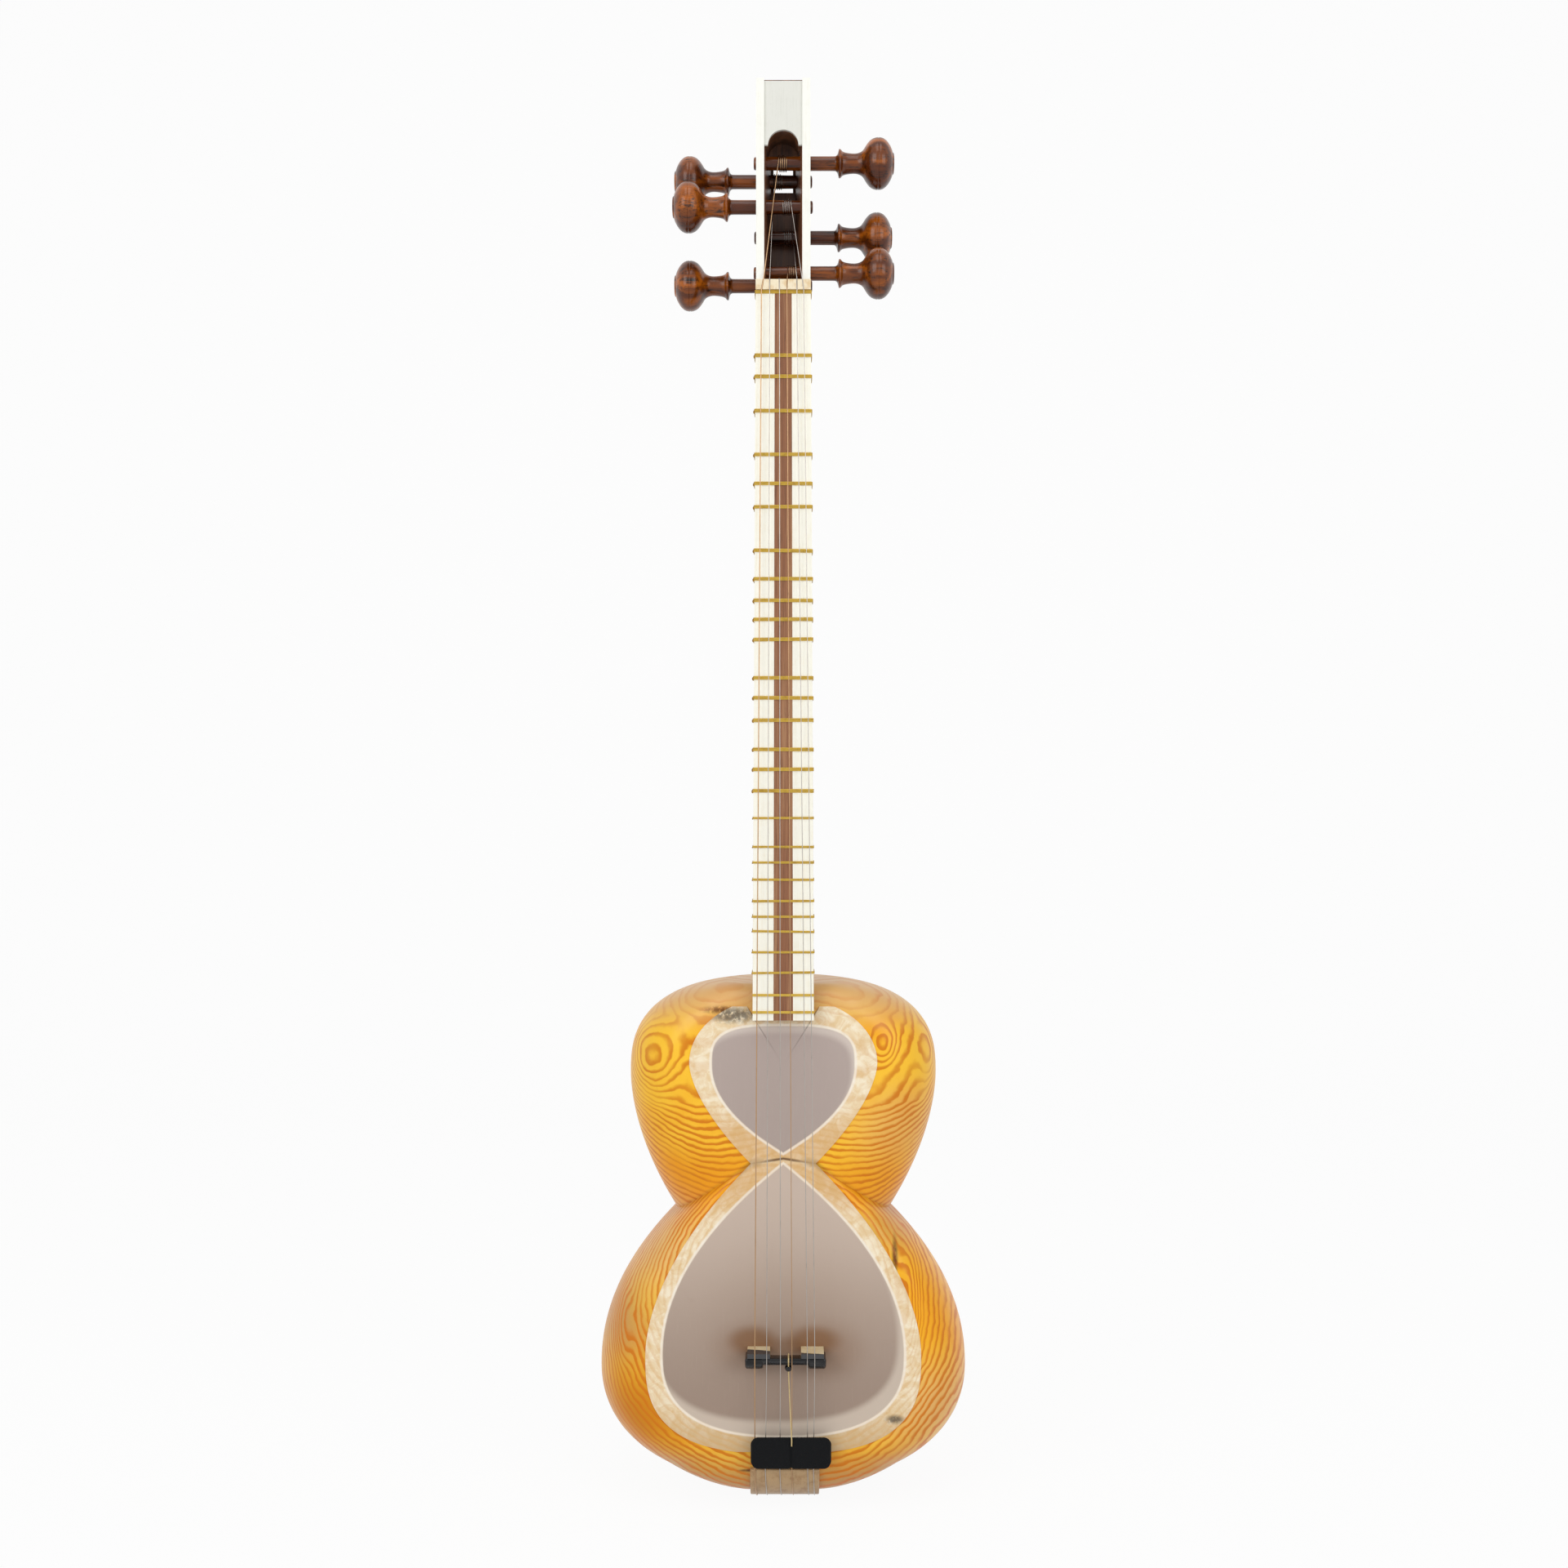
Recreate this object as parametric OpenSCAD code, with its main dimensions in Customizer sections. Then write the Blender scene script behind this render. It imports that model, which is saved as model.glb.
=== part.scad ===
// Persian tar: a long necked lute with a double bowl, two skins, six strings and tied frets.
// The origin is in the middle of the neck at the nut line, in the plane of the skins.
// +Z runs towards the head, -Y towards the player's plectrum and +X to the right of the front view.

/* [Body] */
// Share of the string length at which the neck meets the body
body_share = 0.659; // [0.656:0.001:0.665]
// Length of the small bowl, from the upper end to the waist crease at the sides
small_len = 153; // [146:1:160]
// Length of the large bowl, from the waist crease at the sides to the lower end
big_len = 183.6; // [176:0.2:192]
// Width of the small bowl at its widest
small_w = 206; // [190:1:216]
// Width of the waist
waist_w = 143.4; // [136:0.2:152]
// Width of the large bowl at its widest
big_w = 246; // [232:1:258]
// Depth of the small bowl behind the skin plane
small_depth = 160; // [150:1:168]
// Depth of the waist
waist_depth = 118; // [110:1:126]
// Depth of the large bowl
big_depth = 178; // [168:1:186]
// Wall of the carved bowls
wall = 6; // [5:0.5:8]
// Thickness of the rim under the skins
rim_t = 6; // [5:0.5:7]

/* [Skins] */
// Width of the opening under the small skin
small_open_w = 94; // [84:1:100]
// Width of the opening under the large skin
big_open_w = 158; // [146:1:164]
// Width of the small skin, over its glued border
small_skin_w = 122; // [114:1:128]
// Width of the large skin, over its glued border
big_skin_w = 179; // [172:1:186]
// Thickness of a skin
skin_t = 0.5; // [0.3:0.1:0.8]

/* [Neck] */
// Width of the neck at the nut
neck_w_nut = 35.5; // [33:0.5:37]
// Width of the neck at the body
neck_w_heel = 39.5; // [37:0.5:42]
// Height of the fingerboard above the skin plane
board_rise = 10; // [8:0.5:12]
// Thickness of the bone and walnut layer of the fingerboard
board_t = 4; // [3:0.5:5]
// Depth of the neck's round back axis behind the skin plane
neck_round_y = 4; // [2:0.5:6]
// Length of the fingerboard that lies over the body
board_over_body = 22; // [20:1:23]
// Width of the walnut strip at the nut
core_w_nut = 11; // [9:0.5:13]
// Width of the walnut strip at the body
core_w_heel = 12.6; // [10:0.2:14]
// Length of the neck's tongue let into the body
tongue_len = 15; // [12:1:16]

/* [Pegbox] */
// Width of the pegbox
box_w = 35; // [33:0.5:35]
// Length of the head above the nut line
head_len = 134; // [128:1:142]
// Depth of the pegbox's back behind the skin plane
box_back = 42; // [40:1:46]
// Width of the string channel at the front
channel_w = 24.6; // [23:0.2:26]
// Width of the string channel at its floor
channel_floor_w = 16; // [14:0.5:18]
// Thickness of the pegbox's back wall
box_back_wall = 4; // [3:0.5:5]
// Length of the tenon that joins the pegbox to the neck
tenon_len = 14; // [10:1:18]

/* [Nut and bridge] */
// Length of the nut along the strings
nut_len = 6.5; // [5:0.5:8]
// Height of the nut above the fingerboard
nut_rise = 2.1; // [1.8:0.1:2.6]
// Distance from the nut's lower edge to the bridge's ridge
scale_len = 684.4; // [676:0.4:692]
// Height of the bridge above the skin plane
bridge_h = 18; // [16:0.5:20]
// Width of the bridge
bridge_w = 52; // [46:1:56]
// Thickness of the bridge's bone legs
bone_leg_t = 3; // [2:0.5:4]
// Thickness of the bridge's horn bar
horn_t = 5; // [4:0.5:6]

/* [Pegs] */
// Radius of a peg's shaft at the head side
peg_r = 4.6; // [4:0.1:5]
// Radius of a peg's shaft at its tip
peg_tip_r = 4.1; // [3.6:0.1:4.4]
// Largest radius of a peg's head
peg_head_r = 16.5; // [14:0.5:16.6]
// Radius of a peg's sharp collar
peg_collar_r = 9.2; // [8:0.2:10]
// Running clearance of a peg in its holes, on the radius
peg_fit = 0.05; // [0.03:0.01:0.09]
// Depth of the front row of pegs behind the skin plane
peg_row_front = 7; // [6:0.5:8]
// Depth of the back row of pegs behind the skin plane
peg_row_back = 31; // [30.5:0.5:32]

/* [Strings and frets] */
// Diameter of the thin strings
string_d = 0.5; // [0.4:0.05:0.6]
// Diameter of the bass string
bass_d = 0.7; // [0.6:0.05:0.8]
// Turns of each string round its peg
winding_turns = 4; // [3:1:4]
// Step of the turns along the peg
winding_pitch = 1.3; // [1.2:0.05:1.4]
// Thickness of a tied fret
fret_t = 0.7; // [0.5:0.1:0.9]
// Width of a fret of four gut turns
wide_fret_w = 2.4; // [2:0.1:2.6]
// Width of a fret of two gut turns
narrow_fret_w = 1.6; // [1.2:0.1:1.8]
// Gap between a tied fret and the neck
fret_gap = 0.15; // [0.1:0.05:0.25]

/* [Hand pad and tailpiece] */
// Width of the hand pad
pad_w = 52; // [46:1:56]
// Length of the hand pad along the strings
pad_len = 21.6; // [18:0.2:24]
// Thickness of the hand pad
pad_t = 4.5; // [3.5:0.5:6]
// Width of the tailpiece
tail_w = 45; // [43:1:50]
// Thickness of the tailpiece
tail_t = 3; // [2.5:0.5:4]

/* [Hidden] */
PEG_COUNT = 6;
MOVABLE_COUNT = 8;
$fn = 64;

wood_colour = [0.80, 0.52, 0.20];
walnut_colour = [0.42, 0.26, 0.16];
bone_colour = [0.93, 0.90, 0.82];
skin_colour = [0.68, 0.60, 0.55];
gut_colour = [0.80, 0.68, 0.30];
horn_colour = [0.10, 0.10, 0.11];
steel_colour = [0.78, 0.78, 0.76];
brass_colour = [0.78, 0.66, 0.36];

// Clearance of glued joints that slide together
joint_fit = 0.05;
// Reach of a cutting solid past the face that it opens
past = 1;

// Heights along Z of the body's ends and of its waist crease at the sides
top_z = -body_share * scale_len;
waist_z = top_z - small_len;
bottom_z = waist_z - big_len;

// The crease climbs from the sides to the point where the two skins meet
crease_rise = 40.3;
crease_z = waist_z + crease_rise;
crease_rim_drop = 3.3;
crease_rim_z = crease_z - crease_rim_drop;
crease_rim_x = 21;

// Small bowl first, large bowl second, in every pair of values below
side = [1, -1];
end_z = [top_z, bottom_z];
side_half = [small_w / 2, big_w / 2];
depth = [small_depth, big_depth];
open_half = [small_open_w / 2, big_open_w / 2];
skin_half = [small_skin_w / 2, big_skin_w / 2];

// Distances from the bowl's end to its widest station, its flat face and its opening
side_wide = [63, 76.8];
back_wide = [69, 82.6];
face_start = [14, 33.6];
open_start = [26, 43.6];
skin_wide = [51, 95.9];
open_wide = [52, 96.5];
inner_start = [21, 12];
open_tip_gap = 3;

// Half widths and depths of the flat caps at the bowls' ends
cap_face_x = [25, 16];
face_x = [33, 30];
cap_side_x = [39, 30];
cap_front_y = [14, 30];
inner_front_y = [20, 38];
cap_side_y = [38, 45];
side_y = [55, 60];
waist_side_y = 50;
cap_back_y = [75, 70];

// Roundness of the outlines: exponents of the round ends and of the tapers
side_round = [2.6, 2.15];
open_round = [3.2, 2.5];
skin_round = [2.05, 2.8];
back_round = 2.4;
side_taper = [1.8, 2.05];
open_taper = [2.05, 2];
skin_taper = [1.6, 1.8];
back_taper = 2;
section_front_round = 2.1;
section_back_round = 2.2;

// Share of a bowl's stations at which its face, opening, widest place and tip lie
STATIONS = 27;
FACE_STATIONS = 5;
face_s = FACE_STATIONS / STATIONS;
open_s = 7 / STATIONS;
wide_s = 15 / STATIONS;
tip_s = 26 / STATIONS;
FRONT_STEPS = 8;
BACK_STEPS = 9;
ROW = 2 + FRONT_STEPS + BACK_STEPS;

function lerp(a, b, s) = a + (b - a) * s;

function unit(v) = v / norm(v);

// Round end of an outline, from a point near its axis to its widest place
function round_end(s, x, z, n) =
    let(
        start = asin(pow(x[0] / x[1], n / 2)),
        a = lerp(start, 90, s),
        k = (z[0] - z[1]) / pow(cos(start), 2 / n)
    )
    [x[1] * pow(sin(a), 2 / n), z[1] + k * pow(cos(a), 2 / n)];

// Taper of an outline, from its widest place to its last point
function taper_end(s, x, z, p) = [lerp(x[1], x[2], pow(s, p)), lerp(z[1], z[2], s)];

// Outline through three half widths x at three heights z, between stations s0 and s1
function outline(s, s0, s1, x, z, n, p) =
    s < wide_s
        ? round_end((s - s0) / (wide_s - s0), x, z, n)
        : taper_end((s - wide_s) / (s1 - wide_s), x, z, p);

// Height at a distance from the end of bowl b
function from_end(b, distance) = end_z[b] - side[b] * distance;

function open_tip_z(b) = crease_z + side[b] * open_tip_gap;

// Point of the front edge: along the seam at the ends, along the opening between
function edge_point(b, s, inner) =
    let(
        y0 = inner ? rim_t : 0,
        y_end = inner ? inner_front_y[b] : cap_front_y[b],
        z_end = from_end(b, inner ? inner_start[b] : 0),
        s_face = inner ? open_s : face_s,
        z_face = from_end(b, inner ? open_start[b] : face_start[b]),
        z_open = from_end(b, open_start[b]),
        a = 90 * s / s_face
    )
    s < s_face ? [0, lerp(y_end, y0, sin(a)), lerp(z_face, z_end, cos(a))]
    : s < open_s ? [0, y0, lerp(z_face, z_open, (s - face_s) / (open_s - face_s))]
    : s >= tip_s ? [0, y0, lerp(open_tip_z(b), crease_z, (s - tip_s) / (1 - tip_s))]
    : let(
        heights = [z_open, from_end(b, open_wide[b]), open_tip_z(b)],
        e = outline(s, open_s, tip_s, [0, open_half[b], 0], heights, open_round[b], open_taper[b])
    )
    [e[0], y0, e[1]];

// Outer edge of the flat face, which is also the edge of the skin's glued border
function face_point(b, s, inner) =
    let(
        edge = edge_point(b, s, inner),
        w = inner ? wall : 0,
        s_face = inner ? open_s : face_s,
        z_face = from_end(b, inner ? open_start[b] : face_start[b])
    )
    s < s_face ? [lerp(cap_face_x[b], face_x[b], s / s_face) - w, edge[1], edge[2]]
    : let(
        widths = [face_x[b] - w, skin_half[b] - w, crease_rim_x - w],
        heights = [z_face, from_end(b, skin_wide[b]), crease_rim_z],
        e = outline(s, s_face, 1, widths, heights, skin_round[b], skin_taper[b])
    )
    [e[0], edge[1], e[1]];

// Widest line of the bowl's side
function side_point(b, s, inner) =
    let(
        w = inner ? wall : 0,
        widths = [cap_side_x[b] - w, side_half[b] - w, waist_w / 2 - w],
        heights = [from_end(b, inner ? inner_start[b] : 0), from_end(b, side_wide[b]), waist_z],
        e = outline(s, 0, 1, widths, heights, side_round[b], side_taper[b]),
        y = s < wide_s
            ? lerp(cap_side_y[b], side_y[b], sin(90 * s / wide_s))
            : lerp(side_y[b], waist_side_y, (1 - cos(180 * (s - wide_s) / (1 - wide_s))) / 2)
    )
    [e[0], y, e[1]];

// Middle line of the bowl's back
function back_point(b, s, inner) =
    let(
        w = inner ? wall : 0,
        depths = [cap_back_y[b] - w, depth[b] - w, waist_depth - w],
        heights = [from_end(b, inner ? inner_start[b] : 0), from_end(b, back_wide[b]), waist_z],
        e = outline(s, 0, 1, depths, heights, back_round, back_taper)
    )
    [0, e[0], e[1]];

// One station of a half bowl, from its front edge round the side to the back seam
function section(b, s, inner) =
    let(
        p0 = edge_point(b, s, inner),
        p1 = face_point(b, s, inner),
        p2 = side_point(b, s, inner),
        p3 = back_point(b, s, inner)
    )
    concat(
        [p0],
        [for (k = [0:FRONT_STEPS])
            let(a = 90 * k / FRONT_STEPS, u = pow(sin(a), 2 / section_front_round),
                v = 1 - pow(cos(a), 2 / section_front_round))
            [lerp(p1[0], p2[0], u), lerp(p1[1], p2[1], v), lerp(p1[2], p2[2], u)]],
        [for (k = [1:BACK_STEPS])
            let(a = 90 * k / BACK_STEPS, u = pow(cos(a), 2 / section_back_round),
                v = pow(sin(a), 2 / section_back_round))
            [p2[0] * u, lerp(p2[1], p3[1], v), lerp(p3[2], p2[2], u)]]
    );

// All stations of a half body, from the upper end to the lower end
function skin_rows(inner) =
    concat(
        [for (i = [0:STATIONS]) section(0, i / STATIONS, inner)],
        [for (i = [STATIONS - 1:-1:0]) section(1, i / STATIONS, inner)]
    );

function flatten(rows) = [for (row = rows) for (p = row) p];

// Two triangles between four corners
function quad(a, b, c, d) = [[a, b, c], [a, c, d]];

// Closed shell of one carved half, on the +X side of the seam
module half_shell() {
    outer = skin_rows(false);
    inner = skin_rows(true);
    rows = len(outer);
    base = rows * ROW;
    last = (rows - 1) * ROW;
    far = ROW - 1;
    centres = [for (b = [0, 1]) for (inner = [false, true])
        [0, cap_side_y[b], from_end(b, inner ? inner_start[b] : 0)]];
    c = 2 * base;
    walls = [for (i = [0:rows - 2]) for (j = [0:ROW - 2])
        let(a = i * ROW + j)
        concat(quad(a, a + 1, a + ROW + 1, a + ROW),
            quad(base + a, base + a + ROW, base + a + ROW + 1, base + a + 1))];
    edges = [for (i = [0:rows - 2])
        let(a = i * ROW, e = i * ROW + far)
        concat(quad(a, a + ROW, base + a + ROW, base + a),
            quad(e, base + e, base + e + ROW, e + ROW))];
    caps = [for (j = [0:ROW - 2])
        [[c, j + 1, j], [c + 1, base + j, base + j + 1],
        [c + 2, last + j, last + j + 1], [c + 3, base + last + j + 1, base + last + j]]];
    seams = [
        quad(0, base, c + 1, c), quad(c, c + 1, base + far, far),
        quad(last, c + 2, c + 3, base + last), quad(c + 2, last + far, base + last + far, c + 3)
    ];
    triangles = flatten(concat(walls, edges, caps, seams));
    points = concat(flatten(outer), flatten(inner), centres);
    polyhedron(points, triangles, convexity = 8);
}

module bowl_half() {
    color(wood_colour)
    difference() {
        half_shell();
        translate([-past, -board_rise, tongue_z - joint_fit])
            cube([neck_w_heel / 2 + joint_fit + past, board_rise + tongue_depth + joint_fit, tongue_len + 2 * past]);
    }
}

module bowl_half_right() { bowl_half(); }

module bowl_half_left() { mirror([1, 0, 0]) bowl_half(); }

// The skin of bowl b follows the edge of the flat face and stays off the neck
module skin(b) {
    s_list = [for (i = [face_s * STATIONS:STATIONS]) i / STATIONS];
    rim = concat([for (s = s_list) let(p = face_point(b, s, false)) [p[0], p[2]]], [[0, crease_z]]);
    outline_points = concat(rim, [for (i = [len(rim) - 2:-1:0]) [-rim[i][0], rim[i][1]]]);
    color(skin_colour)
    rotate([90, 0, 0])
    linear_extrude(skin_t)
    difference() {
        polygon(outline_points);
        if (b == 0)
            translate([-neck_w_heel / 2 - neck_gap, board_end_z - neck_gap])
                square([neck_w_heel + 2 * neck_gap, board_over_body + neck_gap + past]);
    }
}

module small_skin() { skin(0); }

module large_skin() { skin(1); }

// Neck

neck_gap = 0.3;
tongue_depth = 14;
tongue_z = top_z - tongue_len;
board_end_z = top_z - board_over_body;
board_top_y = -board_rise;
board_y = board_top_y + board_t;
nut_low_z = -nut_len * 0.4;
nut_high_z = nut_low_z + nut_len;

// Width of the neck at a height, and the same for the walnut strip
function neck_w(z) = lerp(neck_w_nut, neck_w_heel, z / top_z);
function core_w(z) = lerp(core_w_nut, core_w_heel, z / board_end_z);

// D shaped section of the neck, grown by a margin
module neck_section(w, y0, margin) {
    lap = 1;
    translate([-w / 2 - margin, y0 - margin])
        square([w + 2 * margin, neck_round_y - y0 + margin]);
    intersection() {
        translate([0, neck_round_y])
            circle(d = w + 2 * margin, $fn = 96);
        translate([-w, neck_round_y - lap])
            square([2 * w, w]);
    }
}

// Tenon of the pegbox: its width and depth, with its front in the plane of the skins
tenon_w = 14;
tenon_depth = 12;

module tenon(margin) {
    translate([-tenon_w / 2 - margin, -margin, -tenon_len - margin])
        cube([tenon_w + 2 * margin, tenon_depth + 2 * margin, tenon_len + margin + past]);
}

module neck() {
    skirt = 0.5;
    color(walnut_colour)
    difference() {
        union() {
            hull() {
                translate([0, 0, -skirt]) linear_extrude(skirt) neck_section(neck_w_nut, board_y, 0);
                translate([0, 0, top_z]) linear_extrude(skirt) neck_section(neck_w_heel, board_y, 0);
            }
            translate([-neck_w_heel / 2, board_y, tongue_z])
                cube([neck_w_heel, tongue_depth - board_y, tongue_len]);
            translate([-neck_w_heel / 2, board_y, board_end_z])
                cube([neck_w_heel, -board_y, board_over_body]);
        }
        tenon(joint_fit);
    }
}

// Layer of the fingerboard between two lines across the width
module board_strip(x_nut, x_heel) {
    translate([0, board_y, 0])
    rotate([90, 0, 0])
    linear_extrude(board_t)
    polygon([[x_nut[0], nut_low_z], [x_nut[1], nut_low_z], [x_heel[1], board_end_z], [x_heel[0], board_end_z]]);
}

module fingerboard_core() {
    color(walnut_colour)
    board_strip([-core_w_nut / 2, core_w_nut / 2], [-core_w_heel / 2, core_w_heel / 2]);
}

module fingerboard_bone_right() {
    color(bone_colour)
    board_strip([core_w_nut / 2, neck_w_nut / 2], [core_w_heel / 2, neck_w_heel / 2]);
}

module fingerboard_bone_left() { mirror([1, 0, 0]) fingerboard_bone_right(); }

// Pegbox and head

channel_low_z = 3.2;
channel_depth_y = box_back - box_back_wall;
// Arch at the top of the channel, and how deep it is cut
arch_z = 91.2;
arch_r = 9.85;
arch_floor_y = 20;
panel_recess = 1.2;
panel_margin = 1.5;
window_z = [74.5, 93.8];
window_w = 13;
// Back of the head: length of the shoulder at the neck, end of the straight back, and round of the top
shoulder_len = 10;
back_end_share = 0.72;
head_back_y = 34;
crown_r = 12;

// Side view of the pegbox as points in Y and Z, with a rounded shoulder and head
module box_side() {
    neck_back = neck_round_y + neck_w_nut / 2;
    rise = box_back - neck_back;
    shoulder = [for (a = [0:15:90]) [neck_back + rise * sin(a), shoulder_len * (1 - cos(a))]];
    crown = [for (a = [0:15:90]) [head_back_y - crown_r * (1 - cos(a)), head_len - crown_r * (1 - sin(a))]];
    polygon(concat([[board_y, 0]], shoulder, [[box_back, head_len * back_end_share]], crown, [[board_y, head_len]]));
}

module channel() {
    front = channel_w / 2;
    floor_half = channel_floor_w / 2;
    translate([0, 0, channel_low_z])
        linear_extrude(arch_z - channel_low_z)
        polygon([[-front, board_top_y], [front, board_top_y],
            [floor_half, channel_depth_y], [-floor_half, channel_depth_y]]);
    translate([0, board_top_y, arch_z])
        rotate([-90, 0, 0])
        cylinder(r = arch_r, h = arch_floor_y - board_top_y);
}

// Tapered shaft of a peg along +X, or the hole for it, from its tip to a place x past the centre
module peg_shaft(margin, x_tip, x_end) {
    slope = (peg_r - peg_tip_r) / (2 * half_box);
    translate([x_tip, 0, 0])
        rotate([0, 90, 0])
        cylinder(r1 = peg_r - slope * (half_box - x_tip) + margin,
            r2 = peg_r - slope * (half_box - x_end) + margin, h = x_end - x_tip);
}

half_box = box_w / 2;

// For each peg: side of its head, row and height
peg_side = [-1, -1, -1, 1, 1, 1];
peg_y = [peg_row_back, peg_row_front, peg_row_back, peg_row_front, peg_row_back, peg_row_front];
peg_z = [79.6, 55.6, 10.4, 84.1, 42.4, 12.4];

module place_peg(i) {
    translate([0, peg_y[i], peg_z[i]])
        mirror([peg_side[i] < 0 ? 1 : 0, 0, 0])
        children();
}

module pegbox() {
    color(walnut_colour)
    difference() {
        union() {
            translate([-half_box, 0, 0])
                rotate([90, 0, 90])
                linear_extrude(box_w)
                box_side();
            tenon(0);
        }
        channel();
        translate([-window_w / 2, channel_depth_y - past, window_z[0]])
            cube([window_w, box_back_wall + 2 * past, window_z[1] - window_z[0]]);
        for (i = [0:PEG_COUNT - 1])
            place_peg(i) peg_shaft(peg_fit, -half_box - past, half_box + past);
    }
}

module pegbox_edge_right() {
    color(bone_colour)
    translate([channel_w / 2, board_top_y, nut_high_z])
        cube([half_box - channel_w / 2, board_t, head_len - nut_high_z]);
}

module pegbox_edge_left() { mirror([1, 0, 0]) pegbox_edge_right(); }

module head_panel() {
    color(bone_colour)
    difference() {
        translate([-channel_w / 2, board_top_y + panel_recess, arch_z])
            cube([channel_w, board_t - panel_recess, head_len - arch_z - panel_margin]);
        translate([0, board_top_y - past, arch_z])
            rotate([-90, 0, 0])
            cylinder(r = arch_r, h = board_t + 2 * past);
    }
}

// Strings: places across the width at the nut, the bridge and the tail

string_dia = [bass_d, string_d, string_d, string_d, string_d, string_d];
string_nut_x = [-14, -8.7, -2.4, 2.4, 8.8, 13.2];
string_exit_x = [-12.6, -8.7, -2.6, 2.6, 8.8, 12.2];
string_bridge_x = [-18.2, -10.6, -1.8, 5.6, 15.4, 20.2];
string_tail_x = [-18.4, -11.6, -2.2, 5.6, 15.8, 19.6];
// Peg of each string, the place of its winding and the way the turns step
string_peg = [3, 0, 2, 5, 4, 1];
winding_x = [-3, -6, -3, 3, 6, 5];
winding_step = [1, 1, 1, 1, -1, -1];
// Side of the peg that a string runs over: +1 towards the head, -1 towards the neck
wrap_side = [1, 1, -1, 1, 1, 1];

// Grooves for the strings: depths, and play on each side of a string
nut_groove_depth = 0.5;
bridge_groove_depth = 0.4;
groove_play = 0.15;
contact_gap = 0.05;
// Length of a string that runs level past the nut before it bends to its peg
exit_past = 0.15;
nut_top_y = board_top_y - nut_rise;
groove_y = nut_top_y + nut_groove_depth;
bridge_top_y = -bridge_h;
bridge_groove_y = bridge_top_y + bridge_groove_depth;
ridge_z = nut_low_z - scale_len;

module nut() {
    color(bone_colour)
    difference() {
        translate([-neck_w_nut / 2, nut_top_y, nut_low_z])
            cube([neck_w_nut, board_y - nut_top_y, nut_len]);
        for (i = [0:PEG_COUNT - 1])
            let(half = string_dia[i] / 2 + groove_play, low = nut_low_z - past, high = nut_high_z + past)
            translate([0, groove_y, 0])
                rotate([90, 0, 0])
                linear_extrude(nut_groove_depth + past)
                polygon([
                    [string_nut_x[i] - half, low], [string_nut_x[i] + half, low],
                    [string_exit_x[i] + half, high], [string_exit_x[i] - half, high]
                ]);
    }
}

// Frets: places in cents above the open string

fret_cents = [
    110, 147, 209, 291, 348, 395, 487, 549, 598, 642, 690, 786, 838, 898,
    980, 1038, 1103, 1189, 1285, 1339, 1401, 1481, 1542, 1602, 1689, 1780
];
glued_cents = [1885, 1970];
last_wide_fret = 16;
// Frets that players move between modes, counted from nought at the nut
movable = [1, 4, 7, 9, 12, 15, 19, 22];
// Knot at the left edge: radii of its two ends, length and distance behind the fingerboard's front
knot_r = 0.9;
knot_end_r = 0.54;
knot_len = 1.8;
knot_back = 3;

function fret_z(cents) = nut_low_z - scale_len * (1 - pow(2, -cents / 1200));
function fret_w(i) = i <= last_wide_fret ? wide_fret_w : narrow_fret_w;
function is_movable(i) = len([for (m = movable) if (m == i) m]) > 0;

// Gut band tied round the neck, centred on z, with its knot at the left edge
module gut_band(z, w, gap, knot) {
    wide = neck_w(z - w);
    half = wide / 2 + gap + fret_t;
    translate([0, 0, z - w / 2])
        linear_extrude(w)
        difference() {
            neck_section(wide, board_top_y, gap + fret_t);
            neck_section(wide, board_top_y, gap);
        }
    if (knot)
        translate([fret_t / 2 - half, board_top_y + knot_back, z])
            rotate([0, -90, 0])
            cylinder(r1 = knot_r, r2 = knot_end_r, h = knot_len, $fn = 24);
}

module tied_frets() {
    color(gut_colour)
    for (i = [0:len(fret_cents) - 1])
        if (!is_movable(i))
            gut_band(fret_z(fret_cents[i]), fret_w(i), fret_gap, i <= last_wide_fret);
}

module movable_fret(k) {
    i = movable[k];
    color(gut_colour) gut_band(fret_z(fret_cents[i]), fret_w(i), fret_gap, i <= last_wide_fret);
}

module glued_frets() {
    color(gut_colour)
    for (c = glued_cents)
        translate([-neck_w_heel / 2, board_top_y - fret_t, fret_z(c) - narrow_fret_w / 2])
            cube([neck_w_heel, fret_t, narrow_fret_w]);
}

module nut_tie() {
    tie_w = 2.4;
    color(gut_colour) gut_band(nut_low_z - tie_w / 2 - joint_fit, tie_w, joint_fit, false);
}

// Bridge

bridge_x = 1.5;
leg_w = 14.6;
leg_inset = 1.4;
bar_low_y = -9;
lobe_w = 11.6;
lobe_reach = 9;
toe_corner = 4;
skin_top_y = -skin_t;
leg_z = ridge_z + bone_leg_t / 2;
horn_z = leg_z - bone_leg_t;
toe_z = horn_z - lobe_reach;
// Slope of the horn: distances behind the bridge's top and below the horn's upper face
foot_line = [[0, 2], [2, horn_t], [7, lobe_reach - 1], [9, lobe_reach]];
bar_line = [[0, 1.5], [3, horn_t]];

module bridge_grooves() {
    for (i = [0:PEG_COUNT - 1])
        let(half = string_dia[i] / 2 + groove_play)
        translate([string_bridge_x[i] - half, bridge_top_y - past, toe_z - past])
            cube([2 * half, bridge_groove_depth + past, lobe_reach + bone_leg_t + 2 * past]);
}

module bridge_bone() {
    color(bone_colour)
    difference() {
        for (m = [-1, 1])
            translate([bridge_x + m * (bridge_w / 2 - leg_inset - leg_w / 2) - leg_w / 2, bridge_top_y, horn_z])
                cube([leg_w, skin_top_y - bridge_top_y, bone_leg_t]);
        bridge_grooves();
    }
}

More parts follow.
